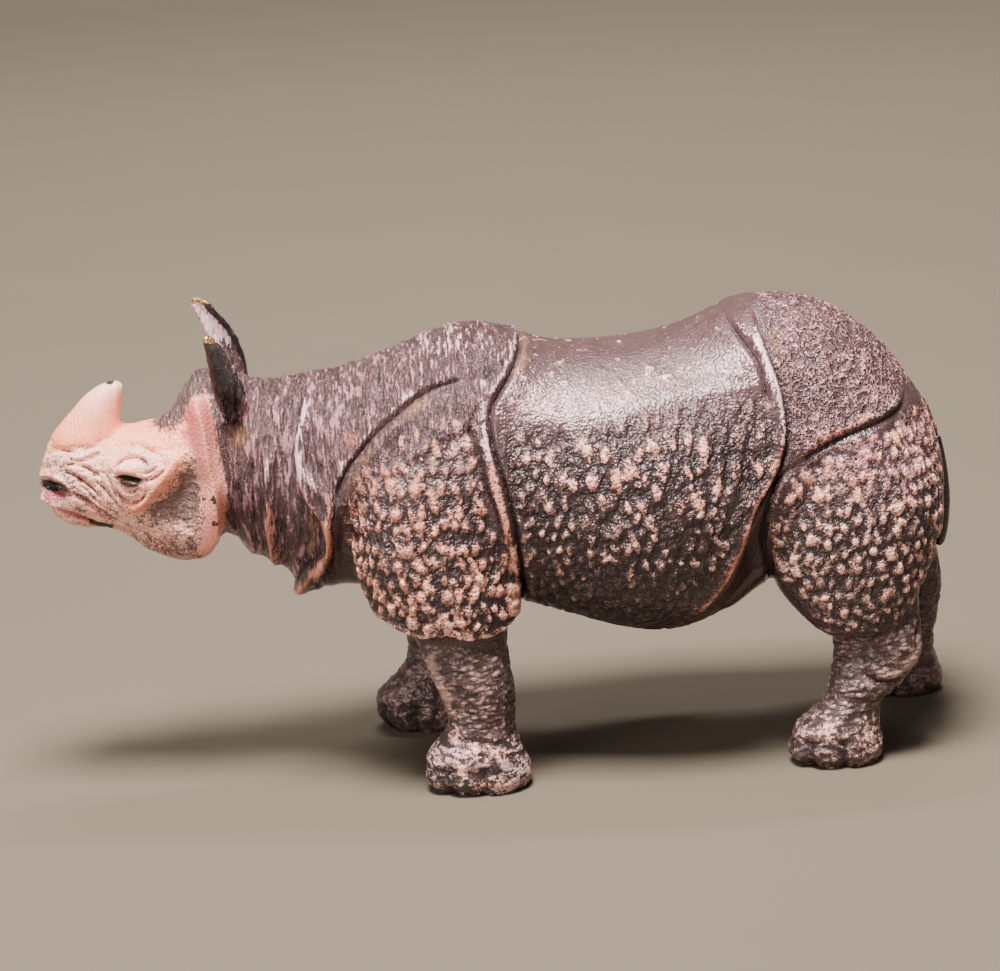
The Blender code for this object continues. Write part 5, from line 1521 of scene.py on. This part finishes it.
class RHINO_OT_stage(bpy.types.Operator):
    """Sets the floor, the lights and the camera"""

    bl_idname = "rhino.stage"
    bl_label = "Set the studio"

    def execute(self, context):
        stage = context.scene.rhino_stage
        floor = bpy.data.objects.new("studio_floor", floor_mesh(stage.floor_width))
        context.scene.collection.objects.link(floor)
        floor.data.materials.append(plain_paint("studio_paint", tuple(stage.floor_colour), 0.85))
        for name, watts, place, target, size, colour in LIGHTS:
            add_light(name, place, target, size, getattr(stage, watts), colour)
        world = bpy.data.worlds.new("studio_light")
        world.use_nodes = True
        background = world.node_tree.nodes["Background"]
        background.inputs["Color"].default_value = WORLD_COLOUR
        background.inputs["Strength"].default_value = WORLD_STRENGTH
        context.scene.world = world
        add_camera(stage)
        return {"FINISHED"}


class RHINO_PT_panel(bpy.types.Panel):
    """Lists the steps and their settings"""

    bl_label = "Painted bronze rhinoceros"
    bl_idname = "RHINO_PT_panel"
    bl_space_type = "VIEW_3D"
    bl_region_type = "UI"
    bl_category = "Rhinoceros"

    def draw(self, context):
        for settings, operators in (
            (context.scene.rhino_hide, (RHINO_OT_cast,)),
            (context.scene.rhino_paint, ()),
            (context.scene.rhino_stage, (RHINO_OT_stage,)),
        ):
            box = self.layout.box()
            for name in type(settings).__annotations__:
                box.prop(settings, name)
            for operator in operators:
                box.operator(operator.bl_idname)


def floor_mesh(width):
    """Floor that sweeps up into a backdrop, over (across, along): flat, then a quarter turn, then
    upright."""
    turn = np.linspace(0.0, math.pi / 2, BEND_STEPS)
    y = np.concatenate([[FLOOR_FRONT], FLOOR_BACK + FLOOR_BEND * np.sin(turn), [FLOOR_BACK + FLOOR_BEND]])
    z = np.concatenate([[0.0], FLOOR_BEND * (1.0 - np.cos(turn)), [BACKDROP_TOP]])
    x = np.linspace(-width / 2, width / 2, FLOOR_COLUMNS)
    points = np.stack(np.broadcast_arrays(x[None, :], y[:, None], z[:, None]), axis=-1)
    index = np.arange(len(y) * FLOOR_COLUMNS).reshape(-1, FLOOR_COLUMNS)
    quads = np.stack([index[:-1, :-1], index[:-1, 1:], index[1:, 1:], index[1:, :-1]], axis=-1)
    mesh = bpy.data.meshes.new("studio_floor")
    mesh.from_pydata(points.reshape(-1, 3).tolist(), [], quads.reshape(-1, 4).tolist())
    mesh.shade_smooth()
    return mesh


def aim(obj, place, target):
    """Puts an object at a place and turns its -Z towards the target."""
    place, target = np.asarray(place, float), np.asarray(target, float)
    back = place - target
    back /= np.linalg.norm(back)
    right = np.cross((0.0, 0.0, 1.0), back)
    right /= np.linalg.norm(right)
    up = np.cross(back, right)
    matrix = np.eye(4)
    matrix[:3, 0], matrix[:3, 1], matrix[:3, 2], matrix[:3, 3] = right, up, back, place
    obj.matrix_world = Matrix(matrix.tolist())


def add_light(name, place, target, size, watts, colour):
    """A square soft light."""
    light = bpy.data.lights.new(name, "AREA")
    light.size = size
    light.energy = watts
    light.color = colour
    obj = bpy.data.objects.new(name, light)
    bpy.context.scene.collection.objects.link(obj)
    aim(obj, place, target)


def add_camera(stage):
    """The camera at the photograph's angle: turned to the head, looking down, and tilted."""
    data = bpy.data.cameras.new("camera")
    data.lens = stage.lens
    data.sensor_width = 36.0
    data.clip_start = 0.01
    camera = bpy.data.objects.new("camera", data)
    bpy.context.scene.collection.objects.link(camera)
    a, e, r = stage.yaw, stage.pitch, stage.roll
    back = np.array((-math.sin(a) * math.cos(e), -math.cos(a) * math.cos(e), math.sin(e)))
    right = np.array((math.cos(a), -math.sin(a), 0.0))
    up = np.cross(back, right)
    tilted_right = right * math.cos(r) - up * math.sin(r)
    tilted_up = up * math.cos(r) + right * math.sin(r)
    place = np.array(VIEW_CENTRE) + stage.distance * back
    matrix = np.eye(4)
    matrix[:3, 0], matrix[:3, 1], matrix[:3, 2], matrix[:3, 3] = tilted_right, tilted_up, back, place
    camera.matrix_world = Matrix(matrix.tolist())
    bpy.context.scene.camera = camera


CLASSES = (HideSettings, PaintSettings, StageSettings, RHINO_OT_cast, RHINO_OT_stage, RHINO_PT_panel)


def register():
    for cls in CLASSES:
        bpy.utils.register_class(cls)
    bpy.types.Scene.rhino_hide = bpy.props.PointerProperty(type=HideSettings)
    bpy.types.Scene.rhino_paint = bpy.props.PointerProperty(type=PaintSettings)
    bpy.types.Scene.rhino_stage = bpy.props.PointerProperty(type=StageSettings)


def unregister():
    del bpy.types.Scene.rhino_stage
    del bpy.types.Scene.rhino_paint
    del bpy.types.Scene.rhino_hide
    for cls in reversed(CLASSES):
        bpy.utils.unregister_class(cls)


def main():
    """Registers the tools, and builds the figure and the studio."""
    register()
    bpy.ops.rhino.cast()
    bpy.ops.rhino.stage()


if __name__ == "__main__":
    main()
